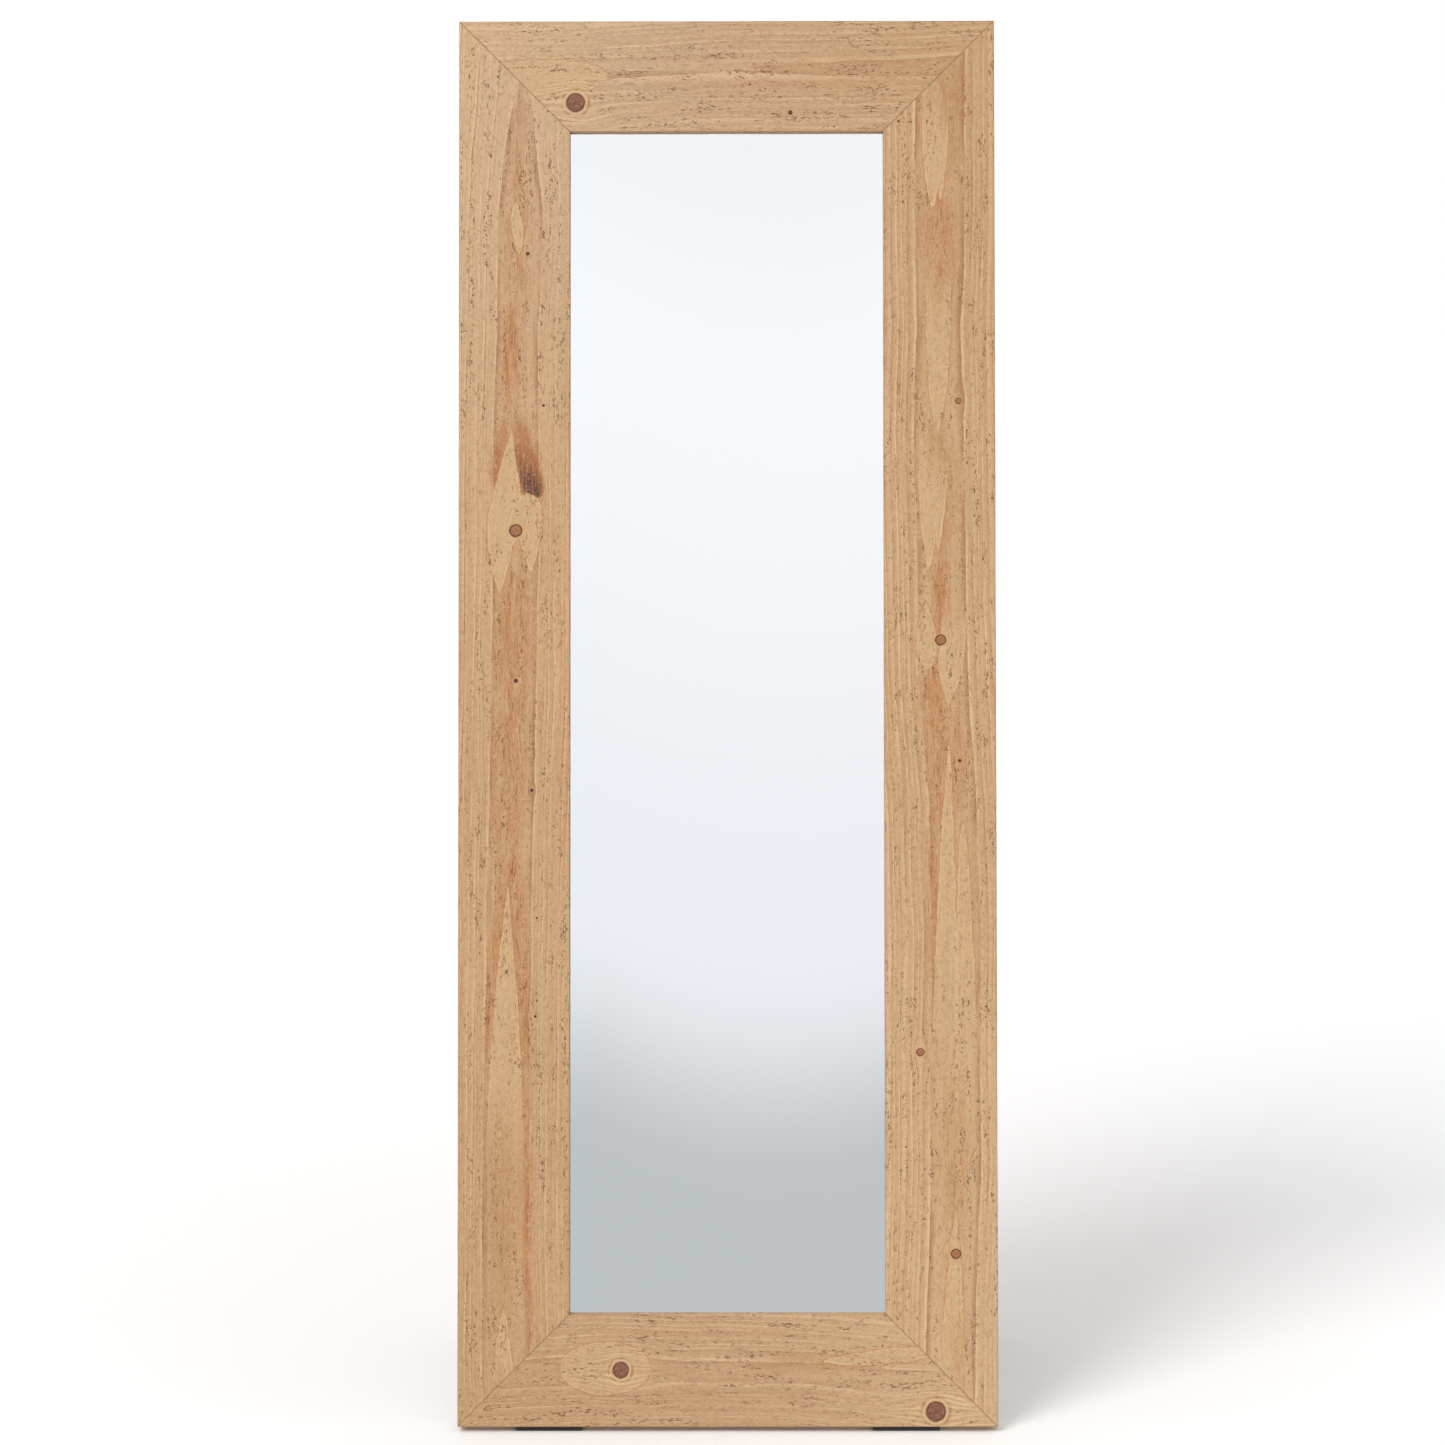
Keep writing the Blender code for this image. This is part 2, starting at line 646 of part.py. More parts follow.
def make_brackets(frame):
    """Bent steel angles: a flat base on the stile and an upright flange that holds the rivet."""
    outside = BRACKET_BEND + STEEL_THICK
    y = BOARD_THICK + GAP
    for name, side in SIDES:
        bend = (BRACKET_OUTER - outside, y + outside)
        outline = ([(BRACKET_INNER, y)] + arc(bend, outside, 270, 360, 4) +
                   [(BRACKET_OUTER, y + BRACKET_DEPTH), (FLANGE_INNER, y + BRACKET_DEPTH)] +
                   arc(bend, BRACKET_BEND, 360, 270, 4) + [(BRACKET_INNER, y + STEEL_THICK)])
        bm, cutter = bmesh.new(), bmesh.new()
        add_prism(bm, [(side * x, depth) for x, depth in outline], "Z",
                  RIVET_HEIGHT - BRACKET_HEIGHT / 2, RIVET_HEIGHT + BRACKET_HEIGHT / 2)
        for point in bracket_screw_points(side):
            add_countersink(cutter, facing((0, 1, 0), point), 2 * STEEL_THICK)
        add_turned(cutter, rod(STAY_PIN_RADIUS + GAP, FLANGE_INNER - GAP, BRACKET_OUTER + GAP),
                   facing((side, 0, 0), (0, BOARD_THICK + STAY_OFF_BACK, RIVET_HEIGHT)))
        make_piece("stay_bracket_" + name, bm, frame, "zinc_steel", cutter=cutter)


def stud_head():
    """The start of a stud's profile: a chamfered head, then the shank through the stay bar."""
    head = STAY_INNER - GAP
    return [(0, head - STUD_HEAD_THICK), (STUD_HEAD * 0.8, head - STUD_HEAD_THICK),
            (STUD_HEAD, head - STUD_HEAD_THICK / 2), (STUD_HEAD, head), (STAY_PIN_RADIUS, head),
            (STAY_PIN_RADIUS, BAR_OUTER + GAP)]


def make_studs(name, axes, y, z, profile):
    """A stud on each side, turned about X, with heights in its profile as distances from x = 0."""
    for side_name, side in SIDES:
        bm = bmesh.new()
        add_turned(bm, profile, facing((side, 0, 0), (0, y, z)))
        make_piece(f"{name}_{side_name}", bm, axes, "zinc_steel", smooth=True)


def make_rivets(frame):
    """Rivets: head, stay bar, collar, bracket flange and flat outer head."""
    tail_radius, tail_thick = RIVET_TAIL
    tail = BRACKET_OUTER + GAP
    profile = stud_head() + [(WASHER_RADIUS, BAR_OUTER + GAP), (WASHER_RADIUS, FLANGE_INNER - GAP),
                             (STAY_PIN_RADIUS, FLANGE_INNER - GAP), (STAY_PIN_RADIUS, tail),
                             (tail_radius, tail), (tail_radius, tail + tail_thick), (0, tail + tail_thick)]
    make_studs("stay_rivet", frame, BOARD_THICK + STAY_OFF_BACK, RIVET_HEIGHT, profile)


def make_stay_pins(strut):
    """Shoulder screws in the legs: head, shoulder in the bar's slot, collar, screw in the wood."""
    screw_radius, screw_length = STAY_SCREW
    face = LEG_INNER - GAP
    profile = stud_head() + [(STUD_HEAD, BAR_OUTER + GAP), (STUD_HEAD, face), (screw_radius, face),
                             (screw_radius, face + screw_length - SCREW_TIP), (0, face + screw_length)]
    make_studs("stay_pin", strut, STAY_PIN_Y, -STAY_ON_LEG, profile)


def stay_slot():
    """Where the slot's two end centres are, along the bar from the rivet: folded and open."""
    return stay_span(0.0).length, stay_span(OPENING).length


def make_stay_bar(name, side, axes):
    """A flat bar with round ends, a hole for the rivet and a slot for the stay pin."""
    near, far = stay_slot()
    half = STAY_WIDTH / 2
    slot = STAY_PIN_RADIUS + STAY_SLOT_PLAY
    outline = arc((0, 0), half, 0, 180, 8) + arc((0, -far - half / 2), half, 180, 360, 8)
    hole = arc((0, STAY_SLOT_END - near), slot, 0, 180, 6) + arc((0, -far - STAY_SLOT_END), slot, 180, 360, 6)
    x_low, x_high = sorted((side * STAY_INNER, side * BAR_OUTER))
    bm, cutter = bmesh.new(), bmesh.new()
    add_prism(bm, outline, "X", x_low, x_high)
    add_prism(cutter, hole, "X", x_low - GAP, x_high + GAP)
    add_turned(cutter, rod(STAY_PIN_RADIUS + GAP, x_low - GAP, x_high + GAP), facing((1, 0, 0), (0, 0, 0)))
    make_piece("stay_bar_" + name, bm, axes, "zinc_steel", cutter=cutter)


# ---------------------------------------------------------------- feet and bumpers

def make_frame_feet(frame):
    """Wedges under the bottom rail, square to it above and flat on the floor below."""
    top = -GAP
    outline = [(FOOT_FRONT, top), (FOOT_FRONT, floor_under_frame(FOOT_FRONT)),
               (FOOT_BACK, floor_under_frame(FOOT_BACK)), (FOOT_BACK, top)]
    for name, side in SIDES:
        bm = bmesh.new()
        middle = side * FOOT_CENTRE
        add_prism(bm, outline, "X", middle - FOOT_LENGTH / 2, middle + FOOT_LENGTH / 2)
        make_piece("frame_foot_" + name, bm, frame, "rubber")


def make_boots(strut):
    """Rubber boots over the legs' ends, cut flat to the floor."""
    front, back = LEG_FRONT - GAP - BOOT_WALL, LEG_BACK + GAP + BOOT_WALL
    top = leg_end() + BOOT_HEIGHT
    outline = [(front, top), (front, floor_under_strut(front)), (back, floor_under_strut(back)), (back, top)]
    half = LEG_WIDTH / 2
    for name, side in SIDES:
        bm, cutter = bmesh.new(), bmesh.new()
        middle = side * LEG_CENTRE
        reach = half + GAP + BOOT_WALL
        add_prism(bm, outline, "X", middle - reach, middle + reach)
        add_box(cutter, (middle - half - GAP, LEG_FRONT - GAP, leg_end() - GAP),
                (middle + half + GAP, LEG_BACK + GAP, top + BOOT_WALL))
        make_piece("strut_boot_" + name, bm, strut, "rubber", cutter=cutter)


def make_bumpers(frame):
    y = BOARD_THICK + GAP
    profile = [(0, 0), (BUMPER_RADIUS, 0), (BUMPER_RADIUS * 0.92, BUMPER_THICK * 0.75),
               (BUMPER_RADIUS * 0.7, BUMPER_THICK), (0, BUMPER_THICK)]
    for name, side in SIDES:
        bm = bmesh.new()
        add_turned(bm, profile, facing((0, 1, 0), (side * LEG_CENTRE, y, BUMPER_HEIGHT)), 16)
        make_piece("fold_bumper_" + name, bm, frame, "rubber", smooth=True)


# ---------------------------------------------------------------- the whole mirror

def footprint_middle():
    """Depth of the middle of the whole model, from the boards' front bottom edge."""
    boot_back = LEG_BACK + GAP + BOOT_WALL
    pin_depth = HINGE_HEIGHT * math.sin(LEAN) + PIN_BEHIND * math.cos(LEAN)
    back = (pin_depth + boot_back * math.cos(LEG_LEAN) - floor_under_strut(boot_back) * math.sin(LEG_LEAN))
    return back / 2


def build_frame(frame, hinge_axes):
    make_stiles(frame)
    make_rails(frame)
    make_biscuits(frame)
    make_glass(frame)
    make_setting_blocks(frame)
    make_backing(frame)
    make_battens(frame)
    make_corner_plates(frame)
    make_frame_leaves(hinge_axes)
    make_hinge_pins(hinge_axes)
    make_brackets(frame)
    make_frame_screws(frame)
    make_rivets(frame)
    make_frame_feet(frame)
    make_bumpers(frame)


def build_strut(strut):
    make_legs(strut)
    make_strut_rails(strut)
    make_tenons(strut)
    make_strut_leaves(strut)
    make_strut_screws(strut)
    make_stay_pins(strut)
    make_boots(strut)


def main():
    for obj in list(bpy.data.objects):
        bpy.data.objects.remove(obj)
    frame = make_axes("frame_axes", None, (0.0, -footprint_middle(), BASE_HEIGHT), -LEAN)
    pin_place = (0.0, PIN_BEHIND, HINGE_HEIGHT)
    hinge_axes = make_axes("hinge_axes", frame, pin_place, 0.0)
    strut = make_axes("strut_axes", frame, pin_place, OPENING)
    build_frame(frame, hinge_axes)
    build_strut(strut)
    rivet_place = (0.0, BOARD_THICK + STAY_OFF_BACK, RIVET_HEIGHT)
    for name, side in SIDES:
        stay = make_axes("stay_axes_" + name, frame, rivet_place, stay_angle(OPENING))
        make_stay_bar(name, side, stay)


main()
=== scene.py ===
"""Looks of the cheval floor mirror: brushed spruce boards, mirror glass, zinc plated hardware and studio.

Two sets of axes are used, the same as in the CAD model:
  frame  x to the right, y from the boards' front face to the back, z up along the boards
  strut  on the hinge pins' axis: y from the pins towards the back, z up along the legs
Wood grain is worked out in two directions, along and across the fibres. In the stiles they are z and
x, and in the rails x and z.
"""

import json
import math

import bmesh
import bpy
import numpy as np
from mathutils import Matrix, Vector


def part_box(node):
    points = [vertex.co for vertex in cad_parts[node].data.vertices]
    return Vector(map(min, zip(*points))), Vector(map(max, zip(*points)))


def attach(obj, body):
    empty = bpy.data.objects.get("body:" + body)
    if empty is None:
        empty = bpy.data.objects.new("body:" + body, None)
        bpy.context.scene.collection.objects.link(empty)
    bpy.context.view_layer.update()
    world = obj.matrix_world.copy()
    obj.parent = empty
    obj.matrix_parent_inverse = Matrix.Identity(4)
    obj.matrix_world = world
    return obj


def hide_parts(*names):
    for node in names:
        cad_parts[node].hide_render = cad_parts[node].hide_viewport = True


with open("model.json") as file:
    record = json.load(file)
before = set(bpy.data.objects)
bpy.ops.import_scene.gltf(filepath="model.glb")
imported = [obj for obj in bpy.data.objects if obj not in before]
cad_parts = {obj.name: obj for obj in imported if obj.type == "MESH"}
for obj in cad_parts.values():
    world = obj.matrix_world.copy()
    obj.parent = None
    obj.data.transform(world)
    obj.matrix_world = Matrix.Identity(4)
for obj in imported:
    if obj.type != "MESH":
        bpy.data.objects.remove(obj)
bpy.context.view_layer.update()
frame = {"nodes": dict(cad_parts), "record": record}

# ---------------------------------------------------------------- sizes, in metres

LEAN = math.radians(9.0)        # of the frame from the vertical
OPENING = math.radians(16.0)    # between the frame's back and the strut
PLAY = 0.0003                   # between pieces that touch

BOARD_WIDTH = 0.135
BOARD_THICK = 0.024
LIP_THICK = 0.008
REBATE = 0.010
MITRE_GAP = 0.00005             # half of the joint line between two boards
MITRE_EASE = 0.0003             # how far the boards' faces drop into the joint line
FRONT_ARRIS = 0.0009
BACK_ARRIS = 0.0012
BACK_RELIEF = 0.35              # how much of the brushed relief the sawn back and edges have

# The battens' sides, the axis that each runs along, and how many sections its mesh has.
BATTENS = (("left", 2, 260), ("right", 2, 260), ("top", 0, 90), ("bottom", 0, 90))

LEG_CENTRE = 0.255
LEG_WIDTH = 0.050
LEG_THICK = 0.020
LEG_FRONT = -0.0013             # leg's front face and top, in the strut's axes
LEG_TOP = -0.004
RAIL_HEIGHT = 0.045
UPPER_RAIL = -0.045
LOWER_RAIL = -1.040

RIVET_HEIGHT = 1.100
RIVET_DEPTH = 0.036
STAY_PIN_PLACE = (0.0087, -0.500)       # y and z in the strut's axes
FRAME_LEAF_SCREWS = (0.0259, 1.269)     # y and z of the hinge leaves' screws, in each leaf's axes
STRUT_LEAF_SCREWS = (-0.0032, -0.019)
HINGE_SCREW_STEP = 0.014                # half of the distance between a leaf's two screws
BRACKET_CENTRE = 0.212
BRACKET_SCREW_STEP = 0.013
PLATE_FACE = 0.0263                     # back face of the corner plates and brackets
PLATE_SCREWS = ((0.030, 0.066), (0.030, 0.100), (0.066, 0.030), (0.100, 0.030))    # in from the outer edges

SIDES = (("left", -1), ("right", 1))
CORNERS = (("top_left", -1, 1), ("top_right", 1, 1), ("bottom_left", -1, -1), ("bottom_right", 1, -1))

# ---------------------------------------------------------------- axes


class Axes:
    """A body's axes, turned about X and moved to a place, like the empties that the CAD model is built on."""

    def __init__(self, body, place, turn):
        self.body = body
        self.matrix = Matrix.Translation(Vector(place)) @ Matrix.Rotation(turn, 4, "X")

    def world(self, points):
        """World places of an array of points in these axes."""
        return points @ np.array(self.matrix.to_3x3()).T + np.array(self.matrix.translation)


STILE_LOW, STILE_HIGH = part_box("frame_stile_left")
HALF_WIDTH = -STILE_LOW.x
FRAME_BASE = STILE_LOW.z + BOARD_THICK * math.sin(LEAN)
FRAME_HEIGHT = (STILE_HIGH.z - FRAME_BASE) / math.cos(LEAN)
FRAME_AXES = Axes("frame", (0.0, STILE_LOW.y, FRAME_BASE), -LEAN)
STRUT_FOLD = next(joint for joint in frame["record"]["behaviour"]["joints"] if joint["name"] == "strut_fold")
STRUT_AXES = Axes("strut", STRUT_FOLD["pos_m"], OPENING - LEAN)
TO_STRUT = STRUT_AXES.matrix.inverted()
LEG_END = min((TO_STRUT @ vertex.co).z for vertex in frame["nodes"]["strut_leg_left"].data.vertices)

# ---------------------------------------------------------------- smooth noise and blends


def blend(value, start, end):
    """From 0 at start to 1 at end, smoothly."""
    share = np.clip((value - start) / (end - start), 0.0, 1.0)
    return share * share * (3.0 - 2.0 * share)


def noise(u, v, seed):
    """Smooth noise from -1 to 1 over two arrays of coordinates, in cells of size 1."""
    cells = np.random.RandomState(seed).uniform(-1.0, 1.0, (97, 97))
    low_u, low_v = np.floor(u).astype(int), np.floor(v).astype(int)
    share_u, share_v = blend(u - low_u, 0, 1), blend(v - low_v, 0, 1)

    def cell(step_u, step_v):
        return cells[(low_u + step_u) % 97, (low_v + step_v) % 97]

    near = cell(0, 0) * (1 - share_u) + cell(1, 0) * share_u
    far = cell(0, 1) * (1 - share_u) + cell(1, 1) * share_u
    return near * (1 - share_v) + far * share_v


# ---------------------------------------------------------------- grain of the boards

class Board:
    """The grain of one board. All places are (along, across) the fibres.

    heart    line that the growth rings are centred on: (along, across, depth of the rings' middle)
    rings    half width of the plain middle band, and spacing of the ring lines beside it
    knots    (along, across, radius, look): 0 small and dark, 1 with a dark rim, 2 large and reddish
    tongues  sharp pale tongues of early wood, as leaves
    warm     soft reddish stretches of heartwood: strength, softness of the edge, and a leaf
    smudges  bark marks, the same way
    """

    def __init__(self, heart, rings, knots=(), tongues=(), warm=(), smudges=(), seed=1):
        self.heart, self.rings, self.knots = heart, rings, knots
        self.tongues, self.warm, self.smudges, self.seed = tongues, warm, smudges, seed


WARM_SPREAD = 0.0022            # how much wider the reddish stretches are than their leaves


def leaf(along, across, start, end, half_width, belly=0.5, ends=(0.9, 0.9)):
    """How far inside the edge of a leaf shape each point is, negative outside.

    The leaf runs from start to end, is widest at the belly's share of the way, and its ends are
    pointed at powers near 1, round at powers near 0.4 and open at a power of 0.
    """
    length = end[0] - start[0]
    share = (along - start[0]) / length
    middle = start[1] + (end[1] - start[1]) * share
    rise = np.sin(0.5 * np.pi * np.clip(share / belly, 0.0, 1.0)) ** ends[0]
    fall = np.sin(0.5 * np.pi * np.clip((1.0 - share) / max(1.0 - belly, 1e-9), 0.0, 1.0)) ** ends[1]
    beyond = np.maximum(np.maximum(-share, share - 1.0), 0.0) * abs(length)
    return half_width * np.minimum(rise, fall) - np.abs(across - middle) - 0.3 * beyond


def grain(board, along, across):
    """The fields that a board's relief and colour are made from, at each (along, across)."""
    seed = board.seed
    wander = 0.0016 * noise(along / 0.11, across / 0.03, seed)
    bent = across + (wander + 0.0006 * noise(along / 0.03, across / 0.012, seed + 1))
    lift = np.zeros_like(along)
    for place, middle, radius, _ in board.knots:
        step, side = along - place, across - middle
        near = np.exp(-(step / (3.2 * radius + 0.004)) ** 2 - (side / (2.2 * radius + 0.002)) ** 2)
        bent = bent - 0.8 * side * near
        lift = lift + near * min(1.0, radius / 0.008)
    stops = np.array(board.heart)
    centre = np.interp(along, stops[:, 0], stops[:, 1])
    depth = np.interp(along, stops[:, 0], stops[:, 2])
    radius = np.hypot(bent - centre, depth)
    plain, spacing = board.rings
    outside = (radius - plain) / spacing
    uneven = 0.22 * np.sin(outside * 1.9 + seed) + 0.12 * np.sin(outside * 4.3 + 2 * seed)
    ring = np.where(radius > plain, outside + uneven - uneven_start(seed), (radius - plain) / plain)
    ragged = across + 0.0008 * noise(along / 0.011, across / 0.02, seed + 2)
    ragged = ragged + 0.0005 * noise(along / 0.0035, across / 0.004, seed + 5)
    tongue = np.full_like(along, -0.05)
    shown = np.zeros_like(along)
    for spec in board.tongues:
        inwards = leaf(along, ragged, *spec)
        shown = np.where(inwards > tongue, strength_of(along, spec), shown)
        tongue = np.maximum(tongue, inwards)
    warm = np.zeros_like(along)
    for strength, soft, *spec in board.warm:
        inwards = leaf(along, bent, *spec) + WARM_SPREAD
        warm = np.maximum(warm, strength * blend(inwards, -1.5 * soft, 1.5 * soft))
    smudge = np.zeros_like(along)
    for strength, soft, *spec in board.smudges:
        share = np.clip((along - spec[0][0]) / (spec[1][0] - spec[0][0]), 0.0, 1.0)
        deeper = strength * (0.20 + 0.80 * share ** 1.3)
        smudge = np.maximum(smudge, deeper * blend(leaf(along, ragged, *spec), -soft, soft))
    knot = nearest_knot(board.knots, along, across)
    return {"ring": ring, "tongue": tongue, "shown": shown, "warm": warm, "smudge": smudge, "knot": knot,
            "grain": np.stack([along, bent, lift], axis=-1)}


def strength_of(along, spec):
    """How strongly a tongue shows: fading towards an open root."""
    share = (along - spec[0][0]) / (spec[1][0] - spec[0][0])
    shown = np.ones_like(along)
    for power, inwards in zip(spec[4], (share, 1.0 - share)):
        if power == 0:
            shown = shown * blend(inwards, 0.0, 0.55)
    return shown


def uneven_start(seed):
    """What keeps the first ring line at the plain band's edge."""
    return 0.22 * math.sin(seed) + 0.12 * math.sin(2 * seed)


def nearest_knot(knots, along, across):
    """Place in the nearest knot, in its radii, and its look, at each point."""
    found = np.full(along.shape + (3,), 50.0)
    best = np.full(along.shape, 1e9)
    for place, middle, radius, look in knots:
        step = (along - place) / radius
        side = (across - middle) / radius
        away = np.hypot(step, side)
        closer = away < best
        best = np.where(closer, away, best)
        found = np.where(closer[..., None], np.stack([step, side, np.full_like(step, look)], axis=-1), found)
    return found


def relief(fields):
    """How far the brushed face stands out, in metres: ring lines are raised, early wood is worn."""
    inside = blend(fields["tongue"], -0.0002, 0.0002) * fields["shown"]
    phase = fields["ring"] - np.floor(fields["ring"])
    own = np.clip(fields["tongue"] / 0.010, 0.0, 0.6)
    phase = phase * (1 - inside) + own * inside
    raised = np.exp(-phase / 0.10) + 0.35 * np.exp(-(1.0 - phase) / 0.05)
    away = np.hypot(fields["knot"][..., 0], fields["knot"][..., 1])
    hard = np.exp(-(away / 1.05) ** 6)
    groove = np.exp(-((away - 1.05) / 0.12) ** 2)
    along, across = fields["grain"][..., 0], fields["grain"][..., 1]
    fibres = noise(along / 0.03, across / 0.0022, 31) + 0.6 * noise(along / 0.012, across / 0.0013, 32)
    return 0.00013 * raised + 0.00004 * fibres + 0.00016 * hard - 0.00022 * groove


# Design values of the four boards' grain.

STILE_LEFT = Board(
    seed=3, rings=(0.03, 0.0066),
    heart=((0.0, -0.268, 0.012), (0.1, -0.267, 0.01), (0.3, -0.2665, 0.012), (0.5, -0.266, 0.013),
           (0.7, -0.262, 0.012), (0.9, -0.257, 0.011), (1.05, -0.256, 0.012), (1.2, -0.256, 0.014),
           (1.36, -0.253, 0.014), (1.45, -0.2505, 0.011), (1.525, -0.2505, 0.0204), (1.61, -0.2475, 0.0286),
           (1.7, -0.245, 0.033)),
    knots=((1.416, -0.2415, 0.0022, 0), (1.2312, -0.2222, 0.0016, 0), (1.0794, -0.2556, 0.0074, 1),
           (0.8974, -0.2555, 0.0024, 0), (0.765, -0.2361, 0.002, 0), (0.611, -0.23, 0.0012, 0),
           (0.4924, -0.2316, 0.0016, 0)),
    tongues=(((1.478, -0.256), (1.415, -0.252), 0.0066, 0.45, (0.45, 0.7)),
            ((1.2052, -0.2611), (1.06, -0.27), 0.02, 0.86, (1.25, 0.6)),
            ((1.13, -0.272), (1.001, -0.2757), 0.0165, 0.35, (0.5, 0.95)),
            ((1.124, -0.24), (1.028, -0.237), 0.0155, 0.3, (0.35, 0.95)),
            ((0.6515, -0.265), (0.27, -0.269), 0.022, 0.9, (0.95, 0)),
            ((0.63, -0.264), (0.33, -0.268), 0.01, 0.9, (0.95, 0)),
            ((0.142, -0.2698), (0.02, -0.27), 0.013, 0.9, (0.8, 0))),
    warm=((0.75, 0.01, (1.58, -0.252), (1.22, -0.258), 0.013, 0.4),
          (1.0, 0.006, (1.36, -0.262), (1.22, -0.262), 0.01, 0.4),
          (0.85, 0.003, (1.215, -0.268), (1.135, -0.283), 0.006, 0.5),
          (0.75, 0.006, (1.215, -0.25), (1.09, -0.228), 0.012, 0.4),
          (0.85, 0.009, (1.06, -0.256), (0.62, -0.262), 0.02, 0.25),
          (0.6, 0.005, (0.9, -0.276), (0.66, -0.276), 0.01, 0.5),
          (0.8, 0.004, (0.7, -0.25), (0.36, -0.2435), 0.006, 0.6),
          (0.95, 0.003, (0.7, -0.262), (0.5, -0.25), 0.007, 0.3),
          (0.85, 0.003, (0.7, -0.268), (0.46, -0.29), 0.006, 0.3),
          (0.6, 0.01, (0.44, -0.272), (0.13, -0.268), 0.014, 0.4),
          (0.85, 0.003, (0.42, -0.243), (0.1, -0.24), 0.004, 0.4)),
    smudges=((1.0, 0.0055, (1.222, -0.2545), (1.1195, -0.2335), 0.014, 0.8, (0.6, 0.18)),
             (0.5, 0.004, (1.222, -0.266), (1.135, -0.283), 0.005, 0.5, (0.7, 0.9))),
)

STILE_RIGHT = Board(
    seed=8, rings=(0.032, 0.0068),
    heart=((0.0, 0.268, 0.012), (0.15, 0.27, 0.012), (0.3, 0.2745, 0.01), (0.45, 0.274, 0.012),
           (0.6, 0.277, 0.012), (0.75, 0.272, 0.013), (0.9, 0.262, 0.012), (1.05, 0.259, 0.012),
           (1.2, 0.256, 0.012), (1.33, 0.257, 0.018), (1.45, 0.258, 0.01), (1.55, 0.258, 0.011),
           (1.7, 0.26, 0.013)),
    knots=((1.5768, 0.2087, 0.0014, 0), (1.236, 0.2804, 0.0036, 1), (0.9464, 0.2583, 0.0063, 1),
           (0.8003, 0.2809, 0.0019, 0), (0.4491, 0.2326, 0.0046, 1), (0.2072, 0.2748, 0.0058, 1)),
    tongues=(((1.64, 0.25), (1.472, 0.2494), 0.012, 0.45, (0, 0.6)),
            ((1.6, 0.264), (1.48, 0.259), 0.006, 0.45, (0, 0.7)),
            ((1.42, 0.258), (1.201, 0.255), 0.015, 0.3, (0, 0.55)),
            ((1.2, 0.244), (1.0316, 0.244), 0.012, 0.3, (0, 0.65)),
            ((1.19, 0.262), (1.048, 0.2545), 0.008, 0.3, (0, 0.8)),
            ((0.992, 0.2403), (0.9118, 0.2419), 0.012, 0.62, (0.9, 0.45)),
            ((1.005, 0.277), (0.864, 0.267), 0.015, 0.6, (0, 1.2)),
            ((0.823, 0.2677), (0.3, 0.26), 0.017, 1.0, (0.75, 0)),
            ((0.725, 0.2844), (0.38, 0.29), 0.012, 0.9, (0.5, 0)),
            ((0.262, 0.275), (0.06, 0.27), 0.013, 0.9, (0.9, 0))),
    warm=((0.55, 0.01, (1.66, 0.27), (1.5, 0.262), 0.02, 0.5),
          (0.8, 0.008, (1.5, 0.257), (1.33, 0.258), 0.016, 0.3),
          (0.5, 0.01, (1.2, 0.258), (1.05, 0.262), 0.022, 0.4),
          (1.0, 0.003, (1.045, 0.26), (0.955, 0.26), 0.0085, 0.4, (0.4, 0.4)),
          (0.9, 0.007, (0.925, 0.247), (0.72, 0.258), 0.014, 0.3),
          (0.7, 0.005, (0.86, 0.28), (0.74, 0.28), 0.009, 0.5),
          (0.75, 0.004, (0.76, 0.2495), (0.55, 0.2455), 0.006, 0.4),
          (0.6, 0.01, (0.44, 0.268), (0.22, 0.276), 0.016, 0.5),
          (0.7, 0.008, (0.2, 0.264), (0.05, 0.282), 0.012, 0.5)),
)

RAIL_TOP = Board(
    seed=14, rings=(0.02, 0.0062),
    heart=((-0.325, 1.628, 0.016), (-0.2, 1.628, 0.014), (-0.13, 1.634, 0.0195), (0.0, 1.64, 0.0202),
           (0.12, 1.64, 0.0185), (0.325, 1.646, 0.015)),
    knots=((-0.1834, 1.6003, 0.0112, 2), (0.0774, 1.5877, 0.0026, 0), (0.1304, 1.5706, 0.001, 0)),
    tongues=(((-0.33, 1.629), (-0.1455, 1.632), 0.0215, 0.6, (0.4, 0.42)),),
    warm=((0.35, 0.005, (-0.02, 1.641), (0.3, 1.652), 0.004, 0.6),
          (0.35, 0.005, (0.02, 1.624), (0.3, 1.63), 0.004, 0.6)),
)

RAIL_BOTTOM = Board(
    seed=21, rings=(0.022, 0.0068),
    heart=((-0.325, 0.06, 0.015), (-0.16, 0.068, 0.012), (-0.06, 0.066, 0.0185), (0.1, 0.064, 0.0175),
           (0.22, 0.052, 0.015), (0.325, 0.044, 0.012)),
    knots=((-0.1285, 0.0682, 0.0097, 2), (0.2502, 0.0186, 0.0118, 2)),
    tongues=(((-0.201, 0.07), (-0.093, 0.07), 0.032, 0.5, (0.45, 0.45)),
            ((0.115, 0.078), (0.26, 0.09), 0.009, 0.6, (0.6, 0.8))),
    warm=((0.5, 0.006, (0.03, 0.072), (0.18, 0.078), 0.006, 0.4),
          (0.3, 0.006, (-0.3, 0.03), (0.1, 0.034), 0.004, 0.5)),
)

# ---------------------------------------------------------------- meshes


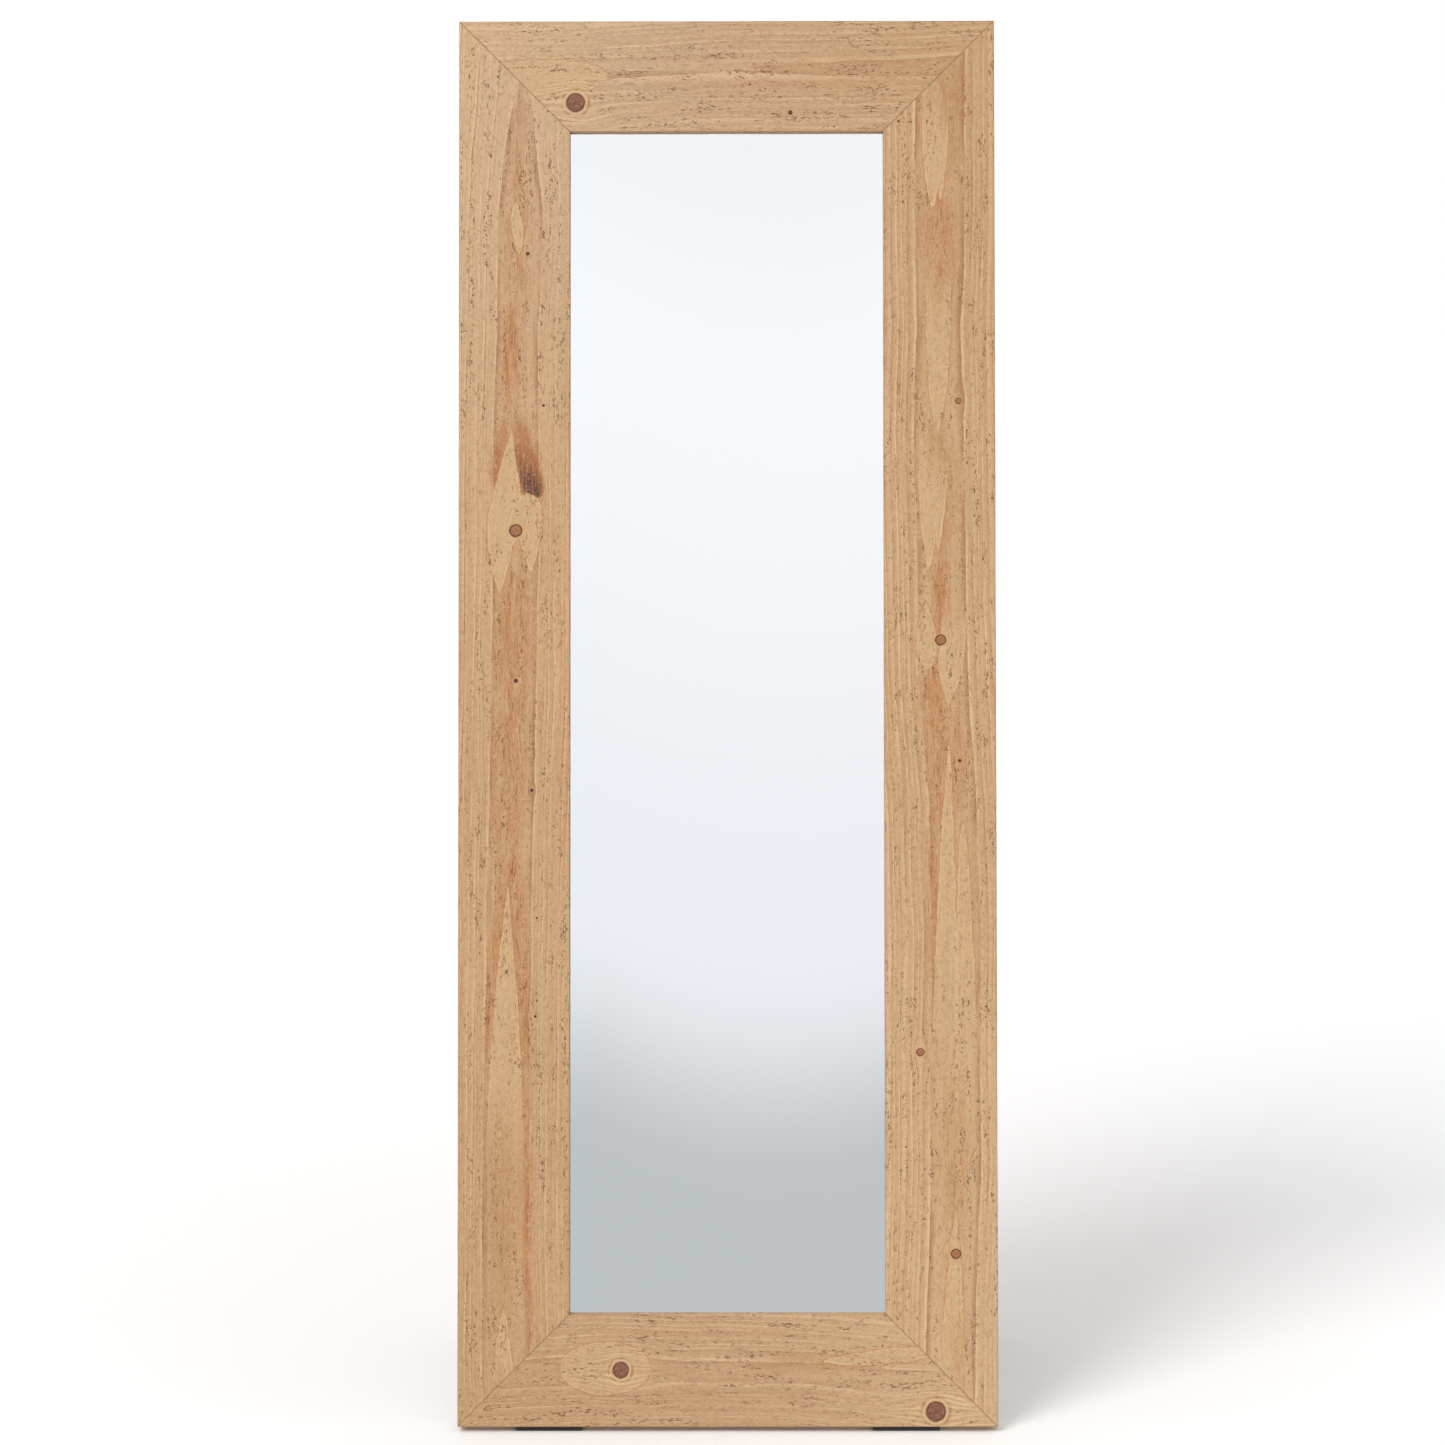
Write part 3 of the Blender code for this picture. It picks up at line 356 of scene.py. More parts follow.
def surface_mesh(name, rows, fields, axes, slot, replaced):
    """A closed board from rows of points round its section, capped at both ends.

    rows is stations x points x 3 in the axes, and fields are values at the same places.
    """
    along = rows[-1].mean(axis=0) - rows[0].mean(axis=0)
    middle = rows[len(rows) // 2] - rows[len(rows) // 2].mean(axis=0)
    if np.cross(middle, np.roll(middle, -1, axis=0)).sum(axis=0) @ along < 0:
        rows = rows[:, ::-1]
        fields = {key: values[:, ::-1].copy() for key, values in fields.items()}
    index = np.arange(rows[..., 0].size).reshape(rows.shape[:2])
    following = np.roll(index, -1, axis=1)
    quads = np.stack([index[:-1], following[:-1], following[1:], index[1:]], axis=-1).reshape(-1, 4)
    mesh = bpy.data.meshes.new(name)
    mesh.from_pydata(axes.world(rows.reshape(-1, 3)), [], quads.tolist() + [index[0][::-1], index[-1]])
    for key, values in fields.items():
        kind, part = ("FLOAT_VECTOR", "vector") if values.ndim == 3 else ("FLOAT", "value")
        layer = mesh.attributes.new(key, kind, "POINT")
        layer.data.foreach_set(part, values.astype(np.float32).ravel())
    mesh.validate()
    mesh.shade_smooth()
    return place_piece(name, mesh, axes, slot, replaced)


def add_object(name, data):
    obj = bpy.data.objects.new(name, data)
    bpy.context.scene.collection.objects.link(obj)
    return obj


def place_piece(name, mesh, axes, slot, *replaced):
    """An object for the mesh, riding on the axes' body, in place of a CAD node if one is named."""
    obj = add_object(name, mesh)
    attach(obj, axes.body)
    if replaced:
        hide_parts(*replaced)
    return obj


def rounded(radius, steps, turn):
    """Offsets of a rounded edge of the section, a quarter turn from the angle, in degrees."""
    angles = np.radians(turn + np.linspace(0, 90, steps + 1))
    return np.stack([radius * np.cos(angles), radius * np.sin(angles)], axis=1)


def board_ring(front_count):
    """Points round a frame board's section, as (inset from the outer edge, depth), and which are in front."""
    f, b = FRONT_ARRIS, BACK_ARRIS
    back_inset = BOARD_WIDTH - REBATE
    front = np.stack([np.linspace(f, BOARD_WIDTH - f, front_count), np.zeros(front_count)], axis=1)
    parts = [
        front,
        np.array([BOARD_WIDTH - f, f]) + rounded(f, 3, -90)[1:],
        [(BOARD_WIDTH, d) for d in (0.0025, 0.005, LIP_THICK)],
        [(inset, LIP_THICK) for inset in (BOARD_WIDTH - 0.004, back_inset)],
        [(back_inset, d) for d in (0.012, 0.017, BOARD_THICK - b)],
        np.array([back_inset - b, BOARD_THICK - b]) + rounded(b, 2, 0)[1:],
        [(inset, BOARD_THICK) for inset in np.linspace(back_inset - b, b, 22)[1:]],
        np.array([b, BOARD_THICK - b]) + rounded(b, 2, 90)[1:],
        [(0.0, d) for d in np.linspace(BOARD_THICK - b, f, 10)[1:]],
        np.array([f, f]) + rounded(f, 3, 180)[1:-1],
    ]
    ring = np.concatenate([np.array(part, float) for part in parts])
    return ring, np.arange(len(ring)) < front_count


def station_shares(count, half_length):
    """Distances of the stations from the middle, in shares of the half length, closer at the mitres."""
    near_ends = np.array([0.0, 0.00035, 0.0008, 0.0016, 0.0028]) / half_length
    inner = np.linspace(-1 + 0.0045 / half_length, 1 - 0.0045 / half_length, count - 2 * len(near_ends))
    return np.concatenate([near_ends - 1, inner, 1 - near_ends[::-1]])


def frame_board(name, board, upright, side, stations, front_count):
    """One mitred, rebated frame board with its brushed relief."""
    ring, in_front = board_ring(front_count)
    length = FRAME_HEIGHT if upright else 2 * HALF_WIDTH
    inset, depth = ring[:, 0], ring[:, 1]
    half = length / 2 - inset - MITRE_GAP * math.sqrt(2)
    shares = station_shares(stations, (length - BOARD_WIDTH) / 2)
    run = shares[:, None] * half
    if upright:
        along, across = run + FRAME_HEIGHT / 2, np.broadcast_to(side * (HALF_WIDTH - inset), run.shape)
    else:
        outer = FRAME_HEIGHT if side > 0 else 0.0
        along, across = run, np.broadcast_to(outer - side * inset, run.shape)
    fields = grain(board, along, across + 0.8 * side_shift(inset, depth, side, upright))
    height = relief(fields) * np.where(in_front, 1.0, BACK_RELIEF)
    end = (1 - np.abs(shares))[:, None] * half
    ease = MITRE_EASE * np.exp(-end / 0.0005)
    edge_out = np.minimum(inset, BOARD_WIDTH - inset)
    worn = 0.00012 * noise(along / 0.014, across / 0.5, 41 + board.seed) * np.exp(-edge_out / 0.003)
    normal = section_normals(ring)
    push = height - ease * (depth < 0.0012) + worn
    inset_now = inset + push * normal[:, 0]
    depth_now = np.broadcast_to(depth, run.shape) + push * normal[:, 1]
    if upright:
        rows = np.stack([side * (HALF_WIDTH - inset_now), depth_now, along], axis=-1)
    else:
        rows = np.stack([along, depth_now, outer - side * inset_now], axis=-1)
    from_arris = np.where(in_front, edge_out, np.maximum(depth - FRONT_ARRIS, 0.0))
    fields["edge"] = np.minimum(from_arris, end)
    fields["depth"] = np.broadcast_to(depth, run.shape).copy()
    fields["joint"] = end
    x, z = (side * (HALF_WIDTH - inset), along) if upright else (along, outer - side * inset)
    # painted sheen: a greyer tan that fades out from the upper left corner of the frame
    far = np.hypot(x + HALF_WIDTH, FRAME_HEIGHT - z)
    fields["corner_sheen"] = np.exp(-(far / 0.32) ** 2)
    # painted light and shade: 1 towards the upper left and lower right corners, -1 towards the upper right
    # and lower left
    fields["diagonal_shading"] = -x / HALF_WIDTH * (2 * z / FRAME_HEIGHT - 1)
    return surface_mesh(name + "_board", rows, fields, FRAME_AXES, "frame_spruce", name)


def side_shift(inset, depth, side, upright):
    """How far the grain on the edges and back is shifted, so that it goes on round both arrises."""
    outward = -side if upright else side
    return outward * depth * (1.0 - 2.0 * inset / BOARD_WIDTH)


def section_normals(ring):
    """Outward directions of a section's points, (inset, depth) parts."""
    step = np.roll(ring, -1, axis=0) - np.roll(ring, 1, axis=0)
    step /= np.maximum(np.linalg.norm(step, axis=1, keepdims=True), 1e-9)
    return np.stack([step[:, 1], -step[:, 0]], axis=1)


# ---------------------------------------------------------------- planed pieces

SECTION_COUNTS = (26, 12)       # points along a planed piece's section: across and through
PLANING = 0.00006               # how uneven a planed face is
LEG_ARRIS = 0.0018
BATTEN_ARRIS = 0.0011


def rounded_rectangle(half, radius):
    """Points round a rectangle with round corners, the same number for any size."""
    corners = ((1, -1, -90), (1, 1, 0), (-1, 1, 90), (-1, -1, 180))
    arcs = [np.array([side_u * (half[0] - radius), side_v * (half[1] - radius)]) + rounded(radius, 3, turn)
            for side_u, side_v, turn in corners]
    points = []
    for number, arc in enumerate(arcs):
        begin = arcs[(number + 1) % 4][0]
        shares = np.linspace(0, 1, SECTION_COUNTS[1 - number % 2] + 2)[1:-1, None]
        points.extend([arc, arc[-1] + (begin - arc[-1]) * shares])
    return np.concatenate(points)


def planed_piece(node, axes, run, low, high, arris, log, stations, knots=()):
    """A planed board with eased arrises in place of a CAD node.

    run is the axis along its grain. log is the pith's place off the board's middle, in its section, how
    much it wanders, and a seed, so that rings, faces and end grain agree.
    """
    low, high = np.array(low), np.array(high)
    half, middle = (high - low) / 2, (high + low) / 2
    u, v = [axis for axis in range(3) if axis != run]
    ends = arris * np.array([0.0, 0.08, 0.3, 0.65, 1.0])
    inner = np.linspace(arris - half[run], half[run] - arris, stations)[1:-1]
    steps = np.concatenate([ends - half[run], inner, half[run] - ends[::-1]])
    from_end = half[run] - np.abs(steps)
    insets = arris - np.sqrt(arris ** 2 - np.clip(arris - from_end, 0.0, arris) ** 2)
    section = np.stack([rounded_rectangle((half[u] - inset, half[v] - inset), max(arris - inset, 0.1 * arris))
                        for inset in insets])
    along = np.broadcast_to((steps + middle[run])[:, None], section.shape[:2])
    girth = np.concatenate([[0.0], np.cumsum(np.linalg.norm(np.diff(section[5], axis=0), axis=1))])
    across = np.broadcast_to(girth, along.shape)
    pith_u, pith_v, wander, seed = log
    row = along * 0 + 0.5
    pith_u = pith_u + wander * noise(along / 0.33 + seed, row, seed)
    pith_v = pith_v + 0.4 * wander * noise(along / 0.21 + seed, row, seed + 1)
    outward = section / np.maximum(np.linalg.norm(section, axis=2, keepdims=True), 1e-6)
    worn = noise(along / 0.02, across / 0.02, seed + 3) + 0.5 * noise(along / 0.05, across / 0.003, seed + 4)
    moved = section + outward * (PLANING * worn)[..., None]
    rows = np.zeros(section.shape[:2] + (3,))
    rows[..., run] = along
    rows[..., u] = middle[u] + moved[..., 0]
    rows[..., v] = middle[v] + moved[..., 1]
    inwards = [half[axis] - np.abs(section[..., part]) for part, axis in enumerate((u, v))]
    edge = np.maximum(np.minimum(*inwards), 0.0) + np.maximum(*inwards)
    fields = {
        "log": np.stack([section[..., 0] - pith_u, section[..., 1] - pith_v, along * 0], axis=-1),
        "grain": np.stack([along + 0.37 * seed, across, along * 0], axis=-1),
        "knot": nearest_knot(knots, along, section[..., 0] + middle[u]),
        "edge": np.minimum(edge, from_end[:, None]),
    }
    return surface_mesh(node + "_wood", rows, fields, axes, "strut_spruce", node)


def make_planed_pieces():
    """The strut's legs and rails and the battens, each with its own log and knots."""
    made = []
    leg_back = LEG_FRONT + LEG_THICK
    for number, (name, side) in enumerate(SIDES):
        x = side * LEG_CENTRE
        low, high = (x - LEG_WIDTH / 2, LEG_FRONT, LEG_END), (x + LEG_WIDTH / 2, leg_back, LEG_TOP)
        log = (0.006 * side, -0.034, 0.012, 51 + number)
        knots = ((-0.19 - 0.11 * number, x - 0.006 * side, 0.0062, 1),
                 (-0.62 + 0.09 * number, x + 0.011, 0.0040, 1),
                 (-0.93 - 0.05 * number, x - 0.009, 0.0024, 0), (-0.41, x + 0.014 * side, 0.0018, 0))
        made.append(planed_piece("strut_leg_" + name, STRUT_AXES, 2, low, high, LEG_ARRIS, log, 260, knots))
    half = LEG_CENTRE - LEG_WIDTH / 2 - PLAY
    for number, (name, middle) in enumerate((("upper", UPPER_RAIL), ("lower", LOWER_RAIL))):
        low, high = (-half, LEG_FRONT, middle - RAIL_HEIGHT / 2), (half, leg_back, middle + RAIL_HEIGHT / 2)
        log = (-0.030, 0.012, 0.010, 61 + number)
        made.append(planed_piece("strut_rail_" + name, STRUT_AXES, 0, low, high, LEG_ARRIS, log, 150))
    for number, (name, run, stations) in enumerate(BATTENS):
        low, high = frame_box("batten_" + name)
        log = (0.020, -0.022, 0.006, 71 + number)
        made.append(planed_piece("batten_" + name, FRAME_AXES, run, low, high, BATTEN_ARRIS, log, stations))
    return made


def frame_box(node):
    """Lowest and highest corners of a CAD node in the frame's axes."""
    obj = frame["nodes"][node]
    back = FRAME_AXES.matrix.inverted() @ obj.matrix_world
    places = np.array([back @ vertex.co for vertex in obj.data.vertices])
    return places.min(axis=0), places.max(axis=0)


# ---------------------------------------------------------------- turned hardware

SCREW_DOME = 0.0009
FLAT_DOME = 0.00008             # the strut leaves' screws, because the folded strut lies close to the stile
SCREW_RIM = 0.0030
SCREW_SHANK = 0.0014
SCREW_LENGTH = 0.015
SCREW_TIP = 0.0025
CROSS_DEPTH = 0.00085
CROSS_ARM = (0.00024, 0.00016)      # half an arm's width, and the width of its sloping side
CROSS_REACH = (0.00125, 0.00045)    # an arm's length, and the length of its sloping end
BRAD_PROFILE = ((0.0, 0.00055), (0.0006, 0.0005), (0.0011, 0.00035), (0.00145, 0.0001), (0.0015, -0.0002),
                (0.0007, -0.0003), (0.0007, -0.005), (0.0, -0.0058))
STUD_HEAD = 0.0055
STUD_SHANK = 0.0030
STUD_SEAT = -0.2217             # the stay bar's inner face, from x = 0
BAR_SEAT = -0.2243              # and its outer face


def turned(bm, profile, matrix, sides, recess=None):
    """Adds a closed turned solid. profile is (radius, height) pairs, from the axis round to the axis."""
    angles = [2 * math.pi * number / sides for number in range(sides)]
    rings = []
    for radius, height in profile:
        ring = []
        for angle in angles if radius else angles[:1]:
            x, y = radius * math.cos(angle), radius * math.sin(angle)
            drop = recess(x, y) if recess and radius and height > 0 else 0.0
            ring.append(bm.verts.new(matrix @ Vector((x, y, height - drop))))
        rings.append(ring)
    for near, far in zip(rings, rings[1:]):
        for number in range(sides):
            following = (number + 1) % sides
            corners = [near[number % len(near)], near[following % len(near)],
                       far[following % len(far)], far[number % len(far)]]
            bm.faces.new(list(dict.fromkeys(corners)))


def facing(axes, place, direction):
    """Matrix that turns +Z to a direction in the axes, at a place."""
    turn = Vector((0, 0, 1)).rotation_difference(Vector(direction)).to_matrix().to_4x4()
    return axes.matrix @ Matrix.Translation(Vector(place)) @ turn


def finish_turned(name, bm, axes, *replaced):
    """An object of turned solids, smooth but for its sharp edges."""
    bmesh.ops.recalc_face_normals(bm, faces=bm.faces)
    mesh = bpy.data.meshes.new(name)
    bm.to_mesh(mesh)
    bm.free()
    mesh.shade_smooth()
    mesh.set_sharp_from_angle(angle=math.radians(32))
    return place_piece(name, mesh, axes, "zinc_steel", *replaced)


def cross_recess(x, y):
    """Depth of a cross-head recess at a place on the head."""
    side = (min(abs(x), abs(y)) - CROSS_ARM[0]) / CROSS_ARM[1]
    end = (math.hypot(x, y) - CROSS_REACH[0]) / CROSS_REACH[1]
    return CROSS_DEPTH * (1.0 - min(max(side, 0.0), 1.0)) * (1.0 - min(max(end, 0.0), 1.0))


def make_screw(name, axes, place, way, turn, dome, *replaced):
    """A countersunk screw with a low dome and a cross recess; place is the middle of its rim."""
    shares = (0.06, 0.13, 0.2, 0.27, 0.34, 0.42, 0.5, 0.6, 0.7, 0.8, 0.9, 0.96)
    profile = [(0.0, dome - CROSS_DEPTH)]
    profile += [(SCREW_RIM * share, dome * (1.0 - share ** 2.2)) for share in shares]
    profile += [(SCREW_RIM, 0.0), (SCREW_RIM - 0.0001, -0.0002), (SCREW_SHANK, -0.0019),
                (SCREW_SHANK, SCREW_TIP - SCREW_LENGTH), (0.0, -SCREW_LENGTH)]
    matrix = facing(axes, place, (0, way, 0)) @ Matrix.Rotation(turn, 4, "Z")
    bm = bmesh.new()
    turned(bm, profile, matrix, 40, cross_recess)
    return finish_turned(name, bm, axes, *replaced)


def make_screws():
    """The screws that show: hinges, stay brackets and corner plates."""
    made = []
    for name, side in SIDES:
        for number, step in ((1, -1), (2, 1)):
            x = side * LEG_CENTRE + step * HINGE_SCREW_STEP
            bracket = (side * BRACKET_CENTRE, PLATE_FACE, RIVET_HEIGHT + step * BRACKET_SCREW_STEP)
            rows = (("hinge_screw_frame", FRAME_AXES, (x, *FRAME_LEAF_SCREWS), 1, SCREW_DOME),
                    ("bracket_screw", FRAME_AXES, bracket, 1, SCREW_DOME),
                    ("hinge_screw_strut", STRUT_AXES, (x, *STRUT_LEAF_SCREWS), -1, FLAT_DOME))
            turn = 0.7 * number + 0.4 * side
            for kind, axes, place, way, dome in rows:
                node = f"{kind}_{name}_{number}"
                made.append(make_screw(node + "_cross", axes, place, way, turn, dome, node))
                turn += 0.9
    for corner, side, up in CORNERS:
        for number, (across, along) in enumerate(PLATE_SCREWS):
            place = (side * (HALF_WIDTH - across), PLATE_FACE, FRAME_HEIGHT - along if up > 0 else along)
            name = f"corner_plate_{corner}_screw_{number + 1}"
            made.append(make_screw(name, FRAME_AXES, place, 1, 0.5 + 1.3 * number + 0.6 * side, SCREW_DOME))
    return made


def make_brads():
    """Small round nail heads that hold the battens, one row to a batten."""
    made = []
    for name, run, _ in BATTENS:
        low, high = frame_box("batten_" + name)
        bm = bmesh.new()
        for share in np.linspace(0.06, 0.94, 7 if run == 2 else 3):
            place = [(low[0] + high[0]) / 2, high[1], (low[2] + high[2]) / 2]
            place[run] = low[run] + (high[run] - low[run]) * share
            turned(bm, BRAD_PROFILE, facing(FRAME_AXES, place, (0, 1, 0)), 24)
        made.append(finish_turned(f"batten_{name}_brads", bm, FRAME_AXES))
    return made


def round_head(radius, height, base):
    """Profile points of a low round head, from the axis to its rim."""
    angles = np.radians(np.linspace(0, 90, 6))
    points = [(radius * math.sin(angle), base + height * math.cos(angle)) for angle in angles]
    return [(0.0, base + height)] + points[1:]


def make_studs():
    """The stay rivets and the stay pins, with domed heads, collars and fine round shanks.

    Heights run from the head, which faces the middle, to x = 0.
    """
    start = round_head(STUD_HEAD, 0.0014, STUD_SEAT + 0.0007)
    start += [(STUD_HEAD, STUD_SEAT), (STUD_SHANK, STUD_SEAT), (STUD_SHANK, BAR_SEAT)]
    rivet = start + [(0.0048, BAR_SEAT), (0.0050, -0.2245), (0.0050, -0.2252), (0.0048, -0.2254),
                     (STUD_SHANK, -0.2254), (STUD_SHANK, -0.2280), (0.0042, -0.2280), (0.0045, -0.2283),
                     (0.0042, -0.2289), (0.0, -0.2291)]
    pin = start + [(0.0053, BAR_SEAT), (STUD_HEAD, -0.2245), (STUD_HEAD, -0.2295), (0.0053, -0.2297),
                   (0.0020, -0.2297), (0.0020, -0.2490), (0.0, -0.2515)]
    kinds = (("stay_rivet", FRAME_AXES, (0.0, RIVET_DEPTH, RIVET_HEIGHT), rivet),
             ("stay_pin", STRUT_AXES, (0.0, *STAY_PIN_PLACE), pin))
    made = []
    for name, side in SIDES:
        for kind, axes, place, profile in kinds:
            node = f"{kind}_{name}"
            bm = bmesh.new()
            turned(bm, profile, facing(axes, place, (-side, 0, 0)), 48)
            made.append(finish_turned(node + "_turned", bm, axes, node))
    return made


# ---------------------------------------------------------------- node trees


class Value:
    """What comes out of a node. Sums, products and the calls below add nodes that work on it."""

    def __init__(self, tree, socket):
        self.tree, self.socket = tree, socket

    def maths(self, operation, *others):
        return self.tree.maths(operation, self, *others)

    def __add__(self, other):
        return self.maths("ADD", other)

    def __sub__(self, other):
        return self.maths("SUBTRACT", other)

    def __rsub__(self, other):
        return self.tree.maths("SUBTRACT", other, self)

    def __mul__(self, other):
        return self.maths("MULTIPLY", other)

    def __abs__(self):
        return self.maths("ABSOLUTE")

    def ramp(self, start, end, low=0.0, high=1.0):
        """Smooth step from low at start to high at end."""
        inputs = dict(enumerate((self, start, end, low, high)))
        return self.tree.add("MapRange", inputs, interpolation_type="SMOOTHSTEP")

    def fall(self, start, end):
        """Smooth step from 1 at start to 0 at end."""
        return self.ramp(start, end, 1.0, 0.0)

    def length(self):
        return self.tree.add("VectorMath", {0: self}, "Value", operation="LENGTH")

    def parts(self):
        first = self.tree.add("SeparateXYZ", {0: self})
        return [Value(self.tree, socket) for socket in first.socket.node.outputs]

    def noise(self, scale, detail=2.0, roughness=0.5, distortion=0.0, output="Fac"):
        """Noise at this place. scale is a number, or three for a noise that is stretched."""
        place, scale = (self * scale, 1.0) if isinstance(scale, tuple) else (self, scale)
        inputs = {"Vector": place, "Scale": scale, "Detail": detail, "Roughness": roughness,
                  "Distortion": distortion}
        return self.tree.add("TexNoise", inputs, output)

    def cells(self, scale, feature, output):
        return self.tree.add("TexVoronoi", {"Vector": self, "Scale": scale}, output, feature=feature)

    def random(self):
        """A different share from 0 to 1 for each whole number."""
        return self.tree.add("TexWhiteNoise", {"W": self}, "Value", noise_dimensions="1D")


class Tree:
    """Short calls that add nodes to a new material or world. colour is its colour so far."""

    def __init__(self, name, kind=bpy.data.materials):
        self.owner = kind.new(name)
        self.owner.use_nodes = True
        self.nodes, self.links = self.owner.node_tree.nodes, self.owner.node_tree.links
        self.colour = None

    def put(self, socket, value):
        """Sets a socket to a value, or links it to another node's output."""
        if isinstance(value, Value):
            self.links.new(value.socket, socket)
        elif socket.type == "RGBA":
            socket.default_value = (*value, 1.0)
        else:
            socket.default_value = value

    def add(self, kind, inputs, output=0, **settings):
        """Adds a node. inputs are values, by the names or numbers of its sockets."""
        node = self.nodes.new("ShaderNode" + kind)
        for key, value in settings.items():
            setattr(node, key, value)
        for key, value in inputs.items():
            self.put(node.inputs[key], value)
        return Value(self, node.outputs[output])

    def maths(self, operation, *values):
        """An operation on numbers, or on vectors if one of the values is a vector."""
        wide = any(isinstance(value, tuple) or isinstance(value, Value) and value.socket.type == "VECTOR"
                   for value in values)
        return self.add("VectorMath" if wide else "Math", dict(enumerate(values)), operation=operation)

    def attribute(self, name, output="Fac"):
        return self.add("Attribute", {}, output, attribute_name=name)

    def place(self):
        """Where on the object a point is, in metres."""
        return self.add("TexCoord", {}, "Object")

    def mix(self, share, first, second):
        return self.add("Mix", {0: share, 6: first, 7: second}, 2, data_type="RGBA")

    def paint(self, share, coat):
        """Mixes a share of another colour into the colour so far."""
        self.colour = self.mix(share, self.colour, coat)

    def either(self, ray, usual, other):
        """One shader for most rays, and another for one kind of ray."""
        return self.add("MixShader", {0: self.add("LightPath", {}, ray), 1: usual, 2: other})

    def finish(self, rough, height=None, relief=0.0, strength=0.0, **others):
        """Sets the shader's colour, roughness, bumps and other inputs, and gives the material."""
        if height:
            bumps = {"Height": height, "Distance": relief, "Strength": strength}
            others["Normal"] = self.add("Bump", bumps)
        shader = self.nodes["Principled BSDF"]
        for key, value in {"Base_Color": self.colour, "Roughness": rough, **others}.items():
            self.put(shader.inputs[key.replace("_", " ")], value)
        return self.owner


def colour(red, green, blue):
    """A colour given as on screen, 0 to 255, in the renderer's linear values."""
    shares = [value / 255 for value in (red, green, blue)]
    return tuple(share / 12.92 if share <= 0.04045 else ((share + 0.055) / 1.055) ** 2.4 for share in shares)


def tone(red, green, blue):
    """A wood colour as it looks on screen on the lit front, in the renderer's linear values."""
    return tuple(WOOD_SHADE * value for value in colour(red, green, blue))


# ---------------------------------------------------------------- wood

WOOD_SHADE = 0.86
TAN = tone(202, 163, 121)
TAN_DEEP = tone(190, 150, 107)
TAN_LIGHT = tone(214, 179, 136)
STRAND = tone(180, 136, 94)
# painted sheen colour, laid on at the frame's upper left corner
SHEEN_GREY_TAN = tone(196, 168, 142)
RAIL_SHEEN_TAN = tone(188, 156, 120)
LATE = tone(186, 142, 100)
CREAM = tone(232, 201, 158)
PALE = tone(208, 172, 128)
RED = tone(190, 126, 74)
RED_DEEP = tone(146, 82, 40)
SMOKE_RED = tone(168, 106, 64)
SMOKE = tone(78, 48, 42)
FLECK = tone(118, 78, 50)
WISP = tone(180, 138, 98)
EDGE_TONE = tone(164, 122, 84)
JOINT = tone(138, 108, 82)
KNOT = tone(180, 120, 80)
KNOT_RED = tone(146, 98, 74)
KNOT_DARK = tone(84, 46, 34)
KNOT_CRACK = tone(62, 34, 28)
KNOT_RING = tone(182, 130, 96)
KNOT_HALO = tone(188, 142, 88)
KNOT_BARK = tone(134, 84, 50)
STRUT_EARLY = tone(214, 180, 136)
STRUT_EARLY_DEEP = tuple(0.90 * part for part in STRUT_EARLY)
STRUT_LATE = tone(178, 128, 82)
STRUT_RINGS = 0.0032            # spacing of the strut's rings
FLECK_MOST = 0.84


def ring_lines(tree, place, coarse):
    """Pale raised ring lines and a dark line beside each, also round the tongues.

    The pale side is partly a painted highlight and the dark side partly painted shade of each raised
    step; the rest is the wood's own pale early wood and darker late wood.
    """
    ring, tongue, shown = [tree.attribute(name) for name in ("ring", "tongue", "shown")]
    inside = tongue.ramp(-0.0005, 0.0007) * shown
    loose = ring + (coarse - 0.5) * 0.16
    phase, own = loose.maths("FRACT"), loose.maths("FLOOR").random()
    patchy = place.noise((11.0, 80.0, 0.0)).ramp(0.36, 0.60, 0.20, 1.0)
    # painted highlight on one side of each raised ring line, partly pale early wood
    light = phase.fall(0.04, 0.44) * own.ramp(0.0, 1.0, 0.45, 1.0) * patchy
    # painted shade on the other side of each raised ring line, partly darker late wood
    dark = phase.ramp(0.74, 0.98) * own.ramp(0.0, 1.0, 1.0, 0.25) * patchy
    late = phase.ramp(0.20, 0.95) * ring.ramp(-0.05, 0.02)
    faded = place.noise((24.0, 60.0, 0.0)).ramp(0.38, 0.62, 0.15, 1.0)
    rim = tongue.fall(0.0004, 0.0028) * inside * faded
    nested = abs(tongue - 0.0075).ramp(0.0002, 0.0012, 0.45, 0.0) * inside * faded * patchy
    shadow = tongue.ramp(-0.0036, 0.0) * tongue.fall(0.0, 0.0003) * shown
    return inside, light, dark, late, rim.maths("MAXIMUM", nested), shadow


def squiggles(place, width, cut):
    """Short curved dark flecks: pieces of the level lines of a noise."""
    off = abs(place.noise(1.0, 1.0, 0.4, 0.6) - 0.5)
    broken = (place + (3.1, 7.7, 1.3)).noise(1.1, 1.0).ramp(cut, cut + 0.09)
    return off.fall(width * 0.22, width * 1.12) * broken


def flecks(tree, place, fine, strength, far):
    """Crowds of dark flecks, weaker on the board's back and none on its knots."""
    crowd = place.noise((15.0, 95.0, 0.0), 3.0, 0.65).ramp(0.49, 0.60)
    few = place.noise((4.0, 14.0, 0.0), 1.0).ramp(0.30, 0.55, 0.25, 1.0)
    curled = squiggles(fine, 0.085, 0.53)
    longer = squiggles(fine * (0.62, 0.80, 0.0) + (17.3, 5.9, 0.0), 0.055, 0.56)
    depth = place.noise((120.0, 260.0, 0.0), 1.0).ramp(0.35, 0.65, 0.40, 1.0)
    behind = tree.attribute("depth").ramp(0.004, 0.020, 1.0, 0.35)
    marks = curled.maths("MAXIMUM", longer) * (crowd * few + 0.26) * depth * behind * strength
    return (marks * far.ramp(1.4, 2.4)).maths("MINIMUM", FLECK_MOST)


